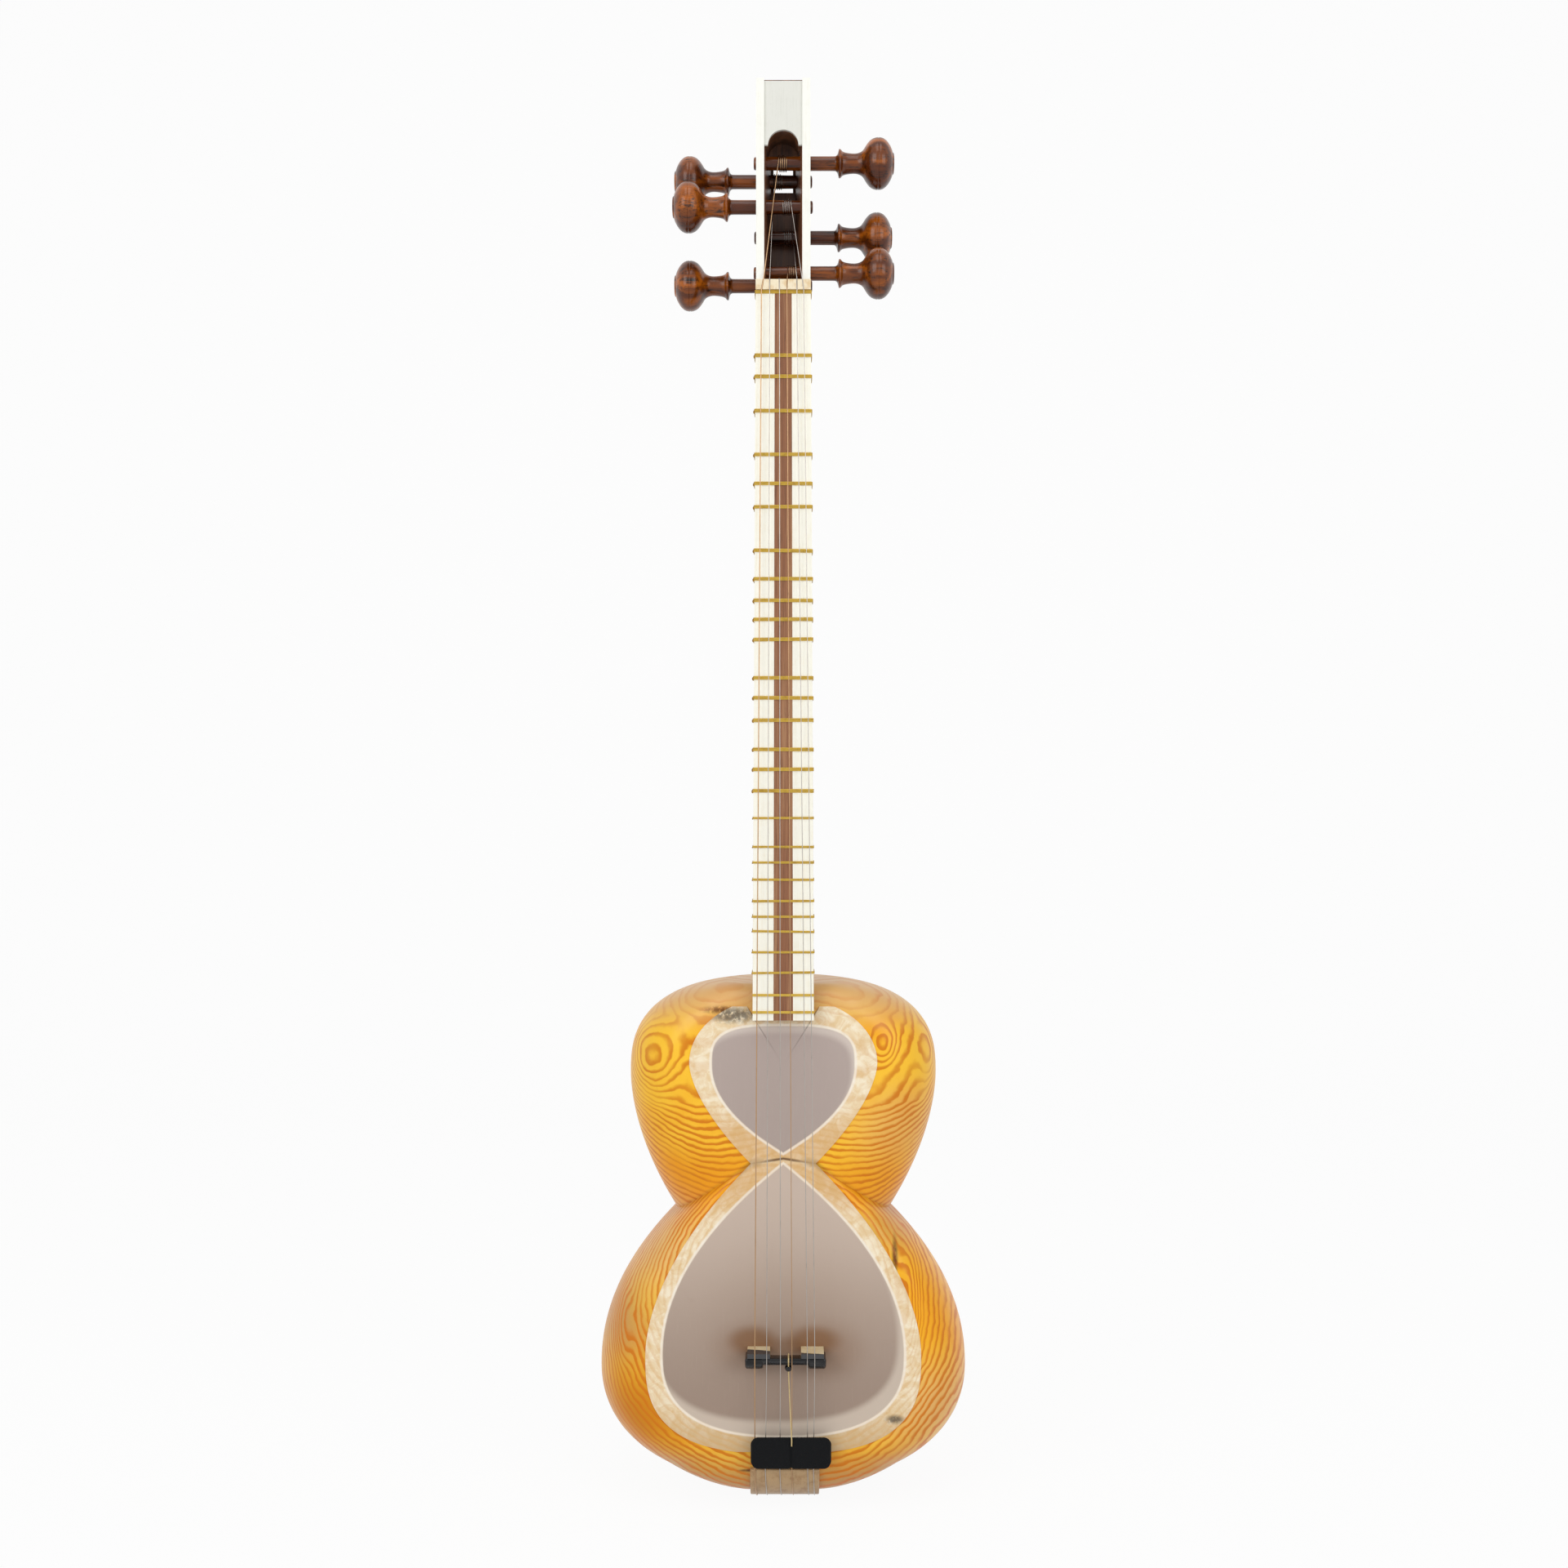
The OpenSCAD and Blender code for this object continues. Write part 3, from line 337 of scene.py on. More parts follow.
@dataclass(frozen=True)
class Growth:
    """Growth layers of the block: stripes over the small bowl, arcs round the large bowl's opening.

    A ring is the distance between two layers in millimetres, a swing how far noise bends them, and a
    knot has a middle, radii and the depth by which it pulls the layers in.
    """

    small_ring: float = 4.6
    large_ring: float = 4.1
    crease_z: float = TOP - 112.7
    rim_x: float = 21.0
    rim_slope: float = 0.157
    side_slope: float = 0.7297
    back_z: float = TOP - 153.0
    back_y: float = 50.0
    arch_x: float = 50.0
    arch: float = 0.0045
    small_lean: float = 0.35
    large_middle: float = -650.0
    middle_drop: float = 0.42
    middle_aside: float = 0.22
    large_widening: float = 1.1
    large_lean: float = 0.25
    broad_swing: float = 14.0
    wavy_swing: float = 5.5
    fine_swing: float = 1.6
    large_swing: float = 0.95
    calm: tuple[float, float] = (-528.0, -472.0)
    calm_share: float = 0.7
    knots: tuple[tuple[Point, Point, float], ...] = (
        ((-91.0, 20.0, -501.0), (17.0, 40.0, 19.0), -27.0),
        ((65.0, 4.0, -490.0), (7.0, 20.0, 9.5), -13.0),
        ((98.0, 22.0, -499.0), (7.0, 30.0, 16.0), -14.0),
        ((82.0, 18.0, -662.0), (5.5, 40.0, 34.0), -11.0),
        ((-104.0, 30.0, -676.0), (5.0, 50.0, 20.0), -9.0),
        ((0.0, 160.0, -520.0), (22.0, 40.0, 40.0), -20.0),
    )

    def crease(self, xyz: Sequence[Link]) -> Link:
        """Height above the crease between the bowls.

        Args:
            xyz: The three coordinates in millimetres.

        Returns:
            The height.
        """
        x, y, z = xyz
        out = abs(x)
        rim = out.smallest(self.rim_x) * -self.rim_slope
        front = rim - (out - self.rim_x).largest(0.0) * self.side_slope + self.crease_z
        behind = y.above(self.back_y)
        return z - (front * (1 - behind) + behind * self.back_z)

    def layers(self, bench: Bench, xyz: Sequence[Link]) -> Link:
        """Depth within the layers, counted in rings.

        Args:
            bench: The tree.
            xyz: The three coordinates in millimetres.

        Returns:
            The depth.
        """
        x, y, z = xyz
        place = bench.join(*xyz)
        broad = bench.noise(place, 0.012, 2.0, 0.45) * self.broad_swing
        wavy = bench.noise(bench.join(x, y, z * 1.3), 0.05, 2.0, 0.5) * self.wavy_swing
        fine = bench.noise(place, 0.17, 2.0, 0.5) * self.fine_swing
        small = (abs(x) - self.arch_x) ** 2.0 * self.arch - z + y * self.small_lean
        small = small + z.largest(self.calm[0]).smallest(self.calm[1]) * self.calm_share
        rise = z - self.large_middle + y * self.middle_drop
        aside = x - y * self.middle_aside
        large = (aside * aside * self.large_widening + rise * rise) ** 0.5 + y * self.large_lean
        bent = broad + wavy + fine
        for middle, radii, pull in self.knots:
            bent = bent + bench.blob(xyz, middle, radii, 0.95) * pull
        upper = self.crease(xyz).above(0.0)
        small = (small + bent) / self.small_ring
        large = (large + bent * self.large_swing) / self.large_ring
        return small * upper + large * (1 - upper)

    def late_wood(self, bench: Bench, xyz: Sequence[Link]) -> Link:
        """Share of dark late wood: a narrow line in each ring, of uneven strength.

        Args:
            bench: The tree.
            xyz: The three coordinates in millimetres.

        Returns:
            The share, from nought to about one.
        """
        depth = self.layers(bench, xyz)
        along = depth.fraction()
        line = along.rise(0.18, 0.74) * (1 - along.rise(0.78, 1.0))
        patchy = bench.noise(bench.join(*xyz), 0.03, 2.0) * 1.7
        each = bench.noise(bench.join(depth * 0.45, 0.0, 0.0), 1.0) * 0.9
        lower = 1 - self.crease(xyz).above(0.0)
        return line * (0.85 + patchy + each + lower * 0.1)


GROWTH = Growth()


@dataclass(frozen=True)
class Mulberry(Finish):
    """Flamed mulberry: growth layers of the block cut through by the carved surface."""

    light: Colour = srgb(255, 198, 54)
    dark: Colour = srgb(212, 116, 4)
    deep: Colour = srgb(244, 158, 14)
    amber: Colour = srgb(206, 126, 4)
    tan: Colour = srgb(228, 182, 116)
    umber: Colour = srgb(196, 150, 90)
    shoulder: Colour = srgb(222, 174, 118)
    # Dark colour of the cracks, and of the painted shade along the crease between the bowls
    seam: Colour = srgb(96, 54, 20)

    def tinted(self, bench: Bench, xyz: Sequence[Link]) -> Link:
        """Colour of the early wood, with its broad tints by place.

        Args:
            bench: The tree.
            xyz: The three coordinates in millimetres.

        Returns:
            The colour.
        """
        cloud = bench.noise(bench.join(*xyz), 0.02, 3.0, 0.55)
        body = bench.mix(self.light, self.deep, (cloud * 2.4 + 0.35).rise(0.1, 0.9) * 0.8)
        for middle, radii, colour, share in (
            ((84.0, 20.0, -503.0), (30.0, 60.0, 18.0), self.light, 0.95),
            ((-84.0, 20.0, -510.0), (30.0, 60.0, 30.0), self.light, 0.7),
            ((-60.0, 15.0, -583.0), (48.0, 60.0, 22.0), self.deep, 0.9),
            ((58.0, 15.0, -583.0), (44.0, 60.0, 18.0), self.deep, 0.6),
            ((74.0, 15.0, -543.0), (26.0, 60.0, 22.0), self.tan, 0.5),
            ((-88.0, 30.0, -622.0), (46.0, 90.0, 26.0), self.tan, 0.85),
            ((74.0, 30.0, -612.0), (40.0, 90.0, 14.0), self.umber, 0.6),
            ((-108.0, 30.0, -672.0), (26.0, 90.0, 24.0), self.umber, 0.75),
            ((-92.0, 30.0, -728.0), (34.0, 90.0, 28.0), self.amber, 0.9),
            ((90.0, 25.0, -660.0), (26.0, 60.0, 40.0), self.deep, 0.7),
            ((94.0, 25.0, -726.0), (34.0, 80.0, 26.0), self.tan, 0.75),
        ):
            body = bench.mix(body, colour, bench.blob(xyz, middle, radii, 0.8) * share)
        z = xyz[2]
        body = bench.mix(body, self.shoulder, z.rise(-486.0, -458.0) * 0.85)
        return bench.mix(body, self.umber, (1 - z.rise(-778.0, -744.0)) * 0.9)

    def cracks(self, bench: Bench, xyz: Sequence[Link]) -> Link:
        """The dark cracks and the bark inclusion.

        Args:
            bench: The tree.
            xyz: The three coordinates in millimetres.

        Returns:
            Their mask.
        """
        marks = dark_spot(bench, xyz, (72.5, 6.0, -628.0), (1.8, 20.0, 11.0), 0.2)
        marks = marks.largest(dark_spot(bench, xyz, (-22.5, 6.0, -767.0), (5.5, 20.0, 1.0), 0.2))
        return marks.largest(dark_spot(bench, xyz, (-38.0, 4.0, -467.5), (12.0, 9.0, 2.5)))

    def paint(self, bench: Bench) -> dict[str, Link | Colour | float]:
        """Growth layers, tints by place, cracks and painted shade along the waist crease.

        Args:
            bench: The tree.

        Returns:
            The inputs that vary.
        """
        place = bench.place_mm()
        x, y, z = xyz = bench.split(place)
        out = abs(x)
        faint = z.rise(-488.0, -464.0)
        late = GROWTH.late_wood(bench, xyz) * (1 - faint * 0.45)
        line = bench.mix(self.dark, self.shoulder, faint * 0.45)
        colour = bench.mix(self.tinted(bench, xyz), line, late.rise(0.05, 1.0) * 0.9)
        vein = bench.noise(bench.join(x * 0.6, y * 0.6, z * 0.1), 1.0, 3.0, 0.6)
        colour = bench.mix(colour, self.dark, (vein - 0.1).rise(0.0, 0.35) * 0.3)
        # Painted shade along the crease between the bowls, darkest near the middle and at the front, mixed
        # with the cracks
        near = (1 - abs(GROWTH.crease(xyz)).rise(0.1, 3.4)) * (0.78 - out.rise(16.0, 34.0) * 0.55)
        near = near * (1 - y.rise(8.0, 48.0) * 0.4)
        cracks = self.cracks(bench, xyz)
        colour = bench.mix(colour, self.seam, near.largest(cracks) * 0.9)
        relief = late * 0.6 + vein * 0.4 - cracks
        return {
            "Base Color": colour,
            "Roughness": 0.36 + late * 0.1,
            "Normal": bench.bump(relief, 0.1, 0.3),
        }


@dataclass(frozen=True)
class Membrane(Finish):
    """Thin skin: a pale glued border, a bright line of painted light at the opening, and a grey field
    inside, painted as the shade of the hollow behind the skin, with a painted lit band near the opening.
    """

    # Field colours are painted shade of the hollow seen through the skin; lit is painted light on the bowl's
    # inner wall near the opening, also used for pale fibres
    field: Colour = srgb(178, 162, 155)
    field_low: Colour = srgb(174, 158, 150)
    lit: Colour = srgb(206, 192, 182)
    border: Colour = srgb(234, 206, 160)
    border_pale: Colour = srgb(250, 236, 208)
    border_warm: Colour = srgb(214, 160, 88)
    border_low: Colour = srgb(204, 170, 122)
    # Painted highlight along the opening's edge
    line: Colour = srgb(250, 242, 230)
    halo: Colour = srgb(124, 82, 42)
    spot: Colour = srgb(84, 76, 66)
    # Dark colour of the joint between the skins, and of the painted shade along the crease
    seam: Colour = srgb(92, 62, 36)
    top: float = -465.0
    low: float = -563.0
    brown_patches: tuple[tuple[Point, Point, float, float], ...] = ()
    warm_at: float = -555.0

    def glued(self, bench: Bench, xyz: Sequence[Link]) -> Link:
        """Colour of the border, where the wood's layers show through.

        Args:
            bench: The tree.
            xyz: The three coordinates in millimetres.

        Returns:
            The colour.
        """
        x, y, z = xyz
        mottle = bench.noise(bench.join(*xyz), 0.12, 4.0, 0.65, 0.8)
        speck = bench.noise(bench.join(x * 0.5, y, z * 0.9), 1.0, 3.0, 0.7)
        wood = GROWTH.late_wood(bench, xyz)
        colour = bench.mix(self.border, self.border_pale, (mottle * 2.4 + 0.45).rise(0.1, 0.9))
        colour = bench.mix(colour, self.border_low, (1 - z.rise(-754.0, -712.0)) * 0.85)
        colour = bench.mix(colour, self.border_warm, (1 - abs(z - self.warm_at).rise(3.0, 30.0)) * 0.6)
        colour = bench.mix(colour, self.border_warm, wood.rise(0.2, 1.0) * 0.3)
        return bench.mix(colour, self.border_warm, (speck * 2.2 - 0.1).rise(0.1, 0.8) * 0.55)

    def sheet(self, bench: Bench, xyz: Sequence[Link], inner: Link) -> Link:
        """Colour of the stretched field, painted as the shade of the hollow behind the skin, darker towards
        the bottom, with a painted lit band near the opening.

        Args:
            bench: The tree.
            xyz: The three coordinates in millimetres.
            inner: Distance inside the shaded field.

        Returns:
            The colour.
        """
        x, _, z = xyz
        place = bench.join(*xyz)
        mottle = bench.noise(place, 0.05, 4.0, 0.6, 0.6)
        fine = bench.noise(place, 0.8, 3.0, 0.6)
        fibre = bench.noise(bench.join(x * 0.7, 0.0, z * 0.05), 1.0, 3.0, 0.6)
        colour = bench.mix(self.field_low, self.field, z.rise(self.low, self.top))
        colour = bench.mix(colour, self.lit, (fibre * 1.8 + fine * 0.4 + 0.05).rise(0.1, 0.9) * 0.2)
        colour = bench.mix(colour, self.halo, (mottle * 2.4 + fine * 0.6 - 0.1).rise(0.2, 1.0) * 0.18)
        # Painted light: the lit inner wall near the opening, fading into the painted shade of the field
        colour = bench.mix(self.lit, colour, inner.rise(-2.6, 3.0))
        # Darker brown patches round the bridge's feet
        for middle, radii, soft, share in self.brown_patches:
            colour = bench.mix(colour, self.halo, bench.blob(xyz, middle, radii, soft) * share)
        return colour

    def paint(self, bench: Bench) -> dict[str, Link | Colour | float]:
        """Zones by the distances kept on the mesh, with painted light and shade, the seam between the skins
        with painted shade along the crease, and dark marks.

        Args:
            bench: The tree.

        Returns:
            The inputs that vary.
        """
        place = bench.place_mm()
        xyz = bench.split(place)
        edge = bench.node("ShaderNodeAttribute", {"attribute_name": "edge"}, out="Fac")
        inner = bench.node("ShaderNodeAttribute", {"attribute_name": "inner"}, out="Fac")
        colour = bench.mix(self.glued(bench, xyz), self.sheet(bench, xyz, inner), edge.rise(0.2, 1.1))
        # Painted highlight along the opening's edge
        rim = edge.rise(-1.5, -0.3) * (1 - edge.rise(0.1, 1.3))
        colour = bench.mix(colour, self.line, rim * 0.7)
        marks = dark_spot(bench, xyz, (-33.0, 0.0, -470.5), (14.0, 9.0, 4.6))
        marks = marks.largest(dark_spot(bench, xyz, (72.5, 0.0, -733.0), (5.0, 9.0, 2.6)))
        colour = bench.mix(colour, self.spot, marks * 0.85)
        out = abs(xyz[0])
        near = abs(GROWTH.crease(xyz))
        # The joint between the skins at the crease, darkened with painted shade, and broad painted shade
        # along the crease further out
        crossing = (1 - near.rise(0.1, 1.4)) * (0.9 - out.rise(4.0, 16.0) * 0.45)
        painted_crease_shade = (1 - near.rise(0.0, 4.5)) * out.rise(9.0, 17.0) * 0.35
        colour = bench.mix(colour, self.seam, crossing.largest(painted_crease_shade))
        fine = bench.noise(place, 0.9, 3.0, 0.6)
        height = fine * 0.6 + (1 - edge.rise(-0.8, 0.8)) * 0.7
        return {
            "Base Color": colour,
            "Roughness": self.roughness + fine * 0.1,
            "Normal": bench.bump(height, 0.12, 0.4),
        }


@dataclass(frozen=True)
class Grain(Finish):
    """Straight grained wood or horn with streaks along one axis."""

    base: Colour = srgb(120, 74, 44)
    streak: Colour = srgb(70, 38, 20)
    # Pale colour of the broad tints; on horn it is a painted highlight, on the pegs partly one
    pale_tone_and_highlight: Colour = srgb(160, 104, 66)
    along: Point = (1.0, 1.0, 0.04)
    scale: float = 0.9
    contrast: float = 1.0
    relief_mm: float = 0.08

    def paint(self, bench: Bench) -> dict[str, Link | Colour | float]:
        """Streaks, broad tints towards the pale colour, which is a painted highlight on horn and partly on
        the pegs, and pores.

        Args:
            bench: The tree.

        Returns:
            The inputs that vary.
        """
        place = bench.place_mm()
        x, y, z = bench.split(place)
        a, b, c = self.along
        line = bench.join(x * a, y * b, z * c)
        streaks = bench.noise(line, self.scale, 4.0, 0.65, 0.4)
        broad = bench.noise(line, self.scale * 0.22, 2.0, 0.5, 0.5)
        pores = bench.noise(line, self.scale * 3.5, 2.0, 0.6)
        # Broad tints: wood tone, and painted highlight streaks on horn and partly on the pegs
        colour = bench.mix(self.base, self.pale_tone_and_highlight, (broad * 2.4 + 0.35).rise(0.1, 0.9) * self.contrast)
        dark = (streaks * 2.6 + pores * 0.8 + 0.25).rise(0.2, 0.85)
        colour = bench.mix(colour, self.streak, dark * self.contrast)
        return {
            "Base Color": colour,
            "Roughness": self.roughness + pores * 0.12,
            "Normal": bench.bump(streaks + pores * 0.6, self.relief_mm, 0.4),
        }


@dataclass(frozen=True)
class Bone(Finish):
    """Polished bone: pale, with fine lengthwise streaks, pores and a golden tint in places."""

    base: Colour = srgb(246, 242, 230)
    shade: Colour = srgb(226, 214, 188)
    gold: Colour = srgb(214, 170, 98)
    gold_share: float = 0.0
    speckle: float = 0.25
    facing: Colour = srgb(58, 58, 60)
    facing_front: float = -9999.0
    facing_slope: float = 0.0

    def paint(self, bench: Bench) -> dict[str, Link | Colour | float]:
        """Streaks, specks, gold, and horn facing towards the front.

        Args:
            bench: The tree.

        Returns:
            The inputs that vary.
        """
        place = bench.place_mm()
        x, y, z = bench.split(place)
        streaks = bench.noise(bench.join(x * 1.2, y * 1.2, z * 0.05), 1.0, 3.0, 0.6)
        cloud = bench.noise(place, 0.16, 3.0, 0.6)
        specks = bench.noise(place, 1.6, 2.0, 0.7)
        colour = bench.mix(self.base, self.shade, (streaks * 1.7 + cloud * 0.9 + 0.2).rise(0.1, 1.0) * 0.7)
        colour = bench.mix(colour, self.shade, (specks * 2 - 0.1).rise(0.2, 0.8) * self.speckle)
        colour = bench.mix(colour, self.gold, (cloud * 2.5 + 0.35).rise(0.2, 0.8) * self.gold_share)
        faced = 1 - (y + x * self.facing_slope + cloud * 2.0 - self.facing_front).rise(-0.3, 0.3)
        colour = bench.mix(colour, self.facing, faced)
        return {
            "Base Color": colour,
            "Roughness": self.roughness + specks * 0.08,
            "Normal": bench.bump(streaks + specks * 0.4, 0.04, 0.3),
        }


@dataclass(frozen=True)
class Gut(Finish):
    """Twisted gut, golden and slightly worn."""

    base: Colour = srgb(210, 172, 66)
    worn: Colour = srgb(224, 192, 102)
    dirt: Colour = srgb(150, 106, 36)
    knot_half: float = 17.9
    knot_widening: float = 0.00443

    def paint(self, bench: Bench) -> dict[str, Link | Colour | float]:
        """Lay of the twist, dirt, and the darker knots at the neck's left edge.

        Args:
            bench: The tree.

        Returns:
            The inputs that vary.
        """
        place = bench.place_mm()
        x, y, z = bench.split(place)
        twist = bench.noise(bench.join(x * 1.5 + z * 2.2, y * 1.5 + z * 2.2, z * 1.2), 1.0, 2.0, 0.6)
        cloud = bench.noise(place, 0.25, 2.0)
        colour = bench.mix(self.base, self.worn, (twist * 2.0 + 0.3).rise(0.1, 0.9) * 0.7)
        colour = bench.mix(colour, self.dirt, (cloud * 2.2 + 0.2).rise(0.2, 0.9) * 0.4)
        knot = (z * self.knot_widening - x - self.knot_half).rise(-0.1, 0.5) * (1 - y.rise(-7.0, -4.0))
        colour = bench.mix(colour, self.dirt, knot * 0.9)
        return {
            "Base Color": colour,
            "Roughness": 0.5 + twist * 0.1,
            "Normal": bench.bump(twist, 0.1, 0.5),
        }


@dataclass(frozen=True)
class Wire(Finish):
    """Drawn metal wire."""

    base: Colour = srgb(226, 226, 222)
    dull: Colour = srgb(170, 168, 162)

    def paint(self, bench: Bench) -> dict[str, Link | Colour | float]:
        """Slight tarnish.

        Args:
            bench: The tree.

        Returns:
            The inputs that vary.
        """
        place = bench.place_mm()
        tarnish = bench.noise(place, 0.12, 3.0, 0.6)
        colour = bench.mix(self.base, self.dull, (tarnish * 2 + 0.2).rise(0.1, 0.9) * 0.6)
        return {"Base Color": colour, "Roughness": self.roughness + tarnish * 0.1}


@dataclass(frozen=True)
class Felt(Finish):
    """Black pressed cloth with a fine twill and a short nap."""

    base: Colour = srgb(20, 21, 23)
    lint: Colour = srgb(44, 45, 48)
    rib_mm: float = 1.1

    def paint(self, bench: Bench) -> dict[str, Link | Colour | float]:
        """Twill, nap and lint.

        Args:
            bench: The tree.

        Returns:
            The inputs that vary.
        """
        place = bench.place_mm()
        x, _, z = bench.split(place)
        nap = bench.noise(place, 1.7, 4.0, 0.75)
        tufts = bench.noise(place, 0.5, 3.0, 0.6, 1.0)
        warp = abs(((x + z) / self.rib_mm).fraction() - 0.5)
        weft = abs(((x - z) / self.rib_mm).fraction() - 0.5)
        light = (nap * 2.0 + tufts + warp * 0.8 - 0.1).rise(0.2, 1.1)
        return {
            "Base Color": bench.mix(self.base, self.lint, light * 0.6),
            "Roughness": 0.92 + nap * 0.1,
            "Normal": bench.bump(nap + warp + weft, 0.3, 0.7),
        }


MULBERRY = Mulberry("mulberry", coat=0.18, coat_roughness=0.22, shine=0.16)
WALNUT = Grain(
    "walnut", 0.42, base=srgb(98, 60, 38), streak=srgb(58, 32, 18), pale_tone_and_highlight=srgb(134, 88, 58), coat=0.05
)
BOARD = Grain(
    "board_walnut", 0.42, base=srgb(140, 91, 61), streak=srgb(93, 57, 35), pale_tone_and_highlight=srgb(168, 122, 86),
    along=(1.9, 1.0, 0.03), coat=0.06
)
NECK_WOOD = Grain(
    "neck_wood", 0.38, base=srgb(104, 62, 36), streak=srgb(66, 36, 20), pale_tone_and_highlight=srgb(138, 86, 52), coat=0.2
)
# The pale colour is partly painted highlight: the orange lit parts of the turned wood
PEG_WOOD = Grain(
    "peg_wood", 0.3, base=srgb(84, 39, 9), streak=srgb(26, 10, 3), pale_tone_and_highlight=srgb(176, 94, 20),
    along=(0.1, 1.0, 1.0), scale=0.42, coat=0.3, coat_roughness=0.12, shine=0.25
)
BOARD_BONE = Bone("board_bone", 0.34, base=srgb(254, 252, 238), shade=srgb(242, 230, 198), coat=0.1)
RAIL_BONE = Bone("rail_bone", 0.36, base=srgb(246, 246, 238), shade=srgb(230, 226, 208), coat=0.1)
PANEL_BONE = Bone("panel_bone", 0.42, base=srgb(222, 222, 214), shade=srgb(204, 204, 194))
NUT_BONE = Bone(
    "nut_bone", 0.34, base=srgb(240, 226, 196), shade=srgb(206, 178, 132), gold_share=0.5, speckle=0.6,
    coat=0.2
)
LEG_BONE = Bone(
    "leg_bone", 0.34, base=srgb(222, 206, 168), shade=srgb(170, 148, 108), gold_share=0.25, speckle=0.6,
    facing_front=-12.0, facing_slope=0.22
)
TAIL_BONE = Bone(
    "tail_bone", 0.4, base=srgb(184, 153, 112), shade=srgb(148, 114, 74), gold=srgb(142, 100, 56),
    gold_share=0.45, speckle=0.8
)
# The grey pale colour paints highlight streaks on the dark horn
HORN = Grain(
    "black_horn", 0.2, base=srgb(17, 16, 18), streak=srgb(6, 6, 7), pale_tone_and_highlight=srgb(120, 120, 124),
    along=(0.15, 1.0, 1.0), scale=1.1, contrast=0.16, coat=0.2, coat_roughness=0.06, shine=0.2,
    relief_mm=0.03
)
GUT = Gut("gut", 0.5, shine=0.35)
TIE_GUT = Gut(
    "tie_cord", 0.6, base=srgb(204, 180, 126), worn=srgb(222, 202, 154), dirt=srgb(160, 134, 84),
    knot_half=90.0
)
FELT = Felt("felt", 0.95, shine=0.2)
STEEL = Wire("steel_wire", 0.3, 1.0, base=srgb(176, 170, 164), dull=srgb(138, 130, 122))
BRASS = Wire("brass_wire", 0.32, 1.0, base=srgb(180, 146, 112), dull=srgb(146, 112, 82))
SMALL_SKIN = Membrane("small_membrane", 0.5, shine=0.35)
# Its field colours are painted shade and its lit colour painted light, as on the small skin
LARGE_SKIN = Membrane(
    "large_membrane", 0.5, shine=0.35, field=srgb(203, 184, 169), field_low=srgb(156, 136, 122),
    lit=srgb(202, 186, 170), top=-566.0, low=-735.0, warm_at=-580.0,
    # Darker brown patches round the bridge's feet
    brown_patches=(
        ((2.0, 0.0, -672.0), (44.0, 9.0, 34.0), 0.9, 0.16),
        ((-21.0, 0.0, -686.0), (20.0, 9.0, 13.0), 0.7, 0.3),
        ((25.0, 0.0, -688.0), (21.0, 9.0, 15.0), 0.7, 0.36),
        ((-20.0, 0.0, -682.0), (14.0, 9.0, 8.5), 0.45, 0.64),
        ((19.5, 0.0, -682.0), (15.5, 9.0, 8.5), 0.45, 0.64),
        ((1.0, 0.0, -686.0), (14.0, 9.0, 5.5), 0.6, 0.34),
    )
)


# Pieces


def placed(name: str, data: bpy.types.ID) -> bpy.types.Object:
    """New object of this data, in the scene.

    Args:
        name: The object's name.
        data: Its data.

    Returns:
        The object.
    """
    made = bpy.data.objects.new(name, data)
    bpy.context.scene.collection.objects.link(made)
    return made


def piece(
    name: str, mesh: bpy.types.Mesh, finish: Finish, node: str, body: str = LUTE
) -> bpy.types.Object:
    """Makes a finished piece of the lute.

    Args:
        name: The piece's name.
        mesh: Its mesh in metres, in place.
        finish: Its material.
        node: The node it stands for.
        body: The body it rides on.

    Returns:
        The object.
    """
    mesh.materials.clear()
    mesh.materials.append(finish.material())
    made = placed(name, mesh)
    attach(made, body)
    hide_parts(node)
    log.info("%s: %d faces on %s", name, len(mesh.polygons), body)
    return made


def paint(nodes: str, finish: Finish) -> None:
    """Gives carried-over nodes their finish.

    Args:
        nodes: Their names, parted by spaces.
        finish: Their material.
    """
    for name in nodes.split():
        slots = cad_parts[name].data.materials
        slots.clear()
        slots.append(finish.material())


def mesh_mm(
    name: str, points: Sequence[Sequence[float]], faces: Sequence[Sequence[int]], crease_deg: float = 40.0
) -> bpy.types.Mesh:
    """Smooth shaded mesh from points in millimetres.

    Args:
        name: The mesh's name.
        points: Corners in millimetres.
        faces: Corner numbers of each face.
        crease_deg: Angle above which an edge stays sharp.

    Returns:
        The mesh in metres, with its doubles merged and its faces outward.
    """
    mesh = bpy.data.meshes.new(name)
    mesh.from_pydata([tuple(c * MM for c in p) for p in points], [], [tuple(f) for f in faces])
    form = bmesh.new()
    form.from_mesh(mesh)
    bmesh.ops.remove_doubles(form, verts=form.verts, dist=1e-6)
    bmesh.ops.dissolve_degenerate(form, edges=form.edges, dist=1e-7)
    bmesh.ops.recalc_face_normals(form, faces=form.faces)
    form.to_mesh(mesh)
    form.free()
    smooth(mesh, crease_deg)
    return mesh


def smooth(mesh: bpy.types.Mesh, crease_deg: float) -> None:
    """Smooth shading, with sharp edges above an angle.

    Args:
        mesh: The mesh.
        crease_deg: The angle, in degrees.
    """
    mesh.polygons.foreach_set("use_smooth", [True] * len(mesh.polygons))
    mesh.set_sharp_from_angle(angle=math.radians(crease_deg))
    mesh.update()


def join_meshes(name: str, meshes: Sequence[bpy.types.Mesh]) -> bpy.types.Mesh:
    """One mesh of several.

    Args:
        name: The mesh's name.
        meshes: The meshes, in place.

    Returns:
        The joined mesh.
    """
    form = bmesh.new()
    for mesh in meshes:
        form.from_mesh(mesh)
    joined = bpy.data.meshes.new(name)
    form.to_mesh(joined)
    form.free()
    return joined


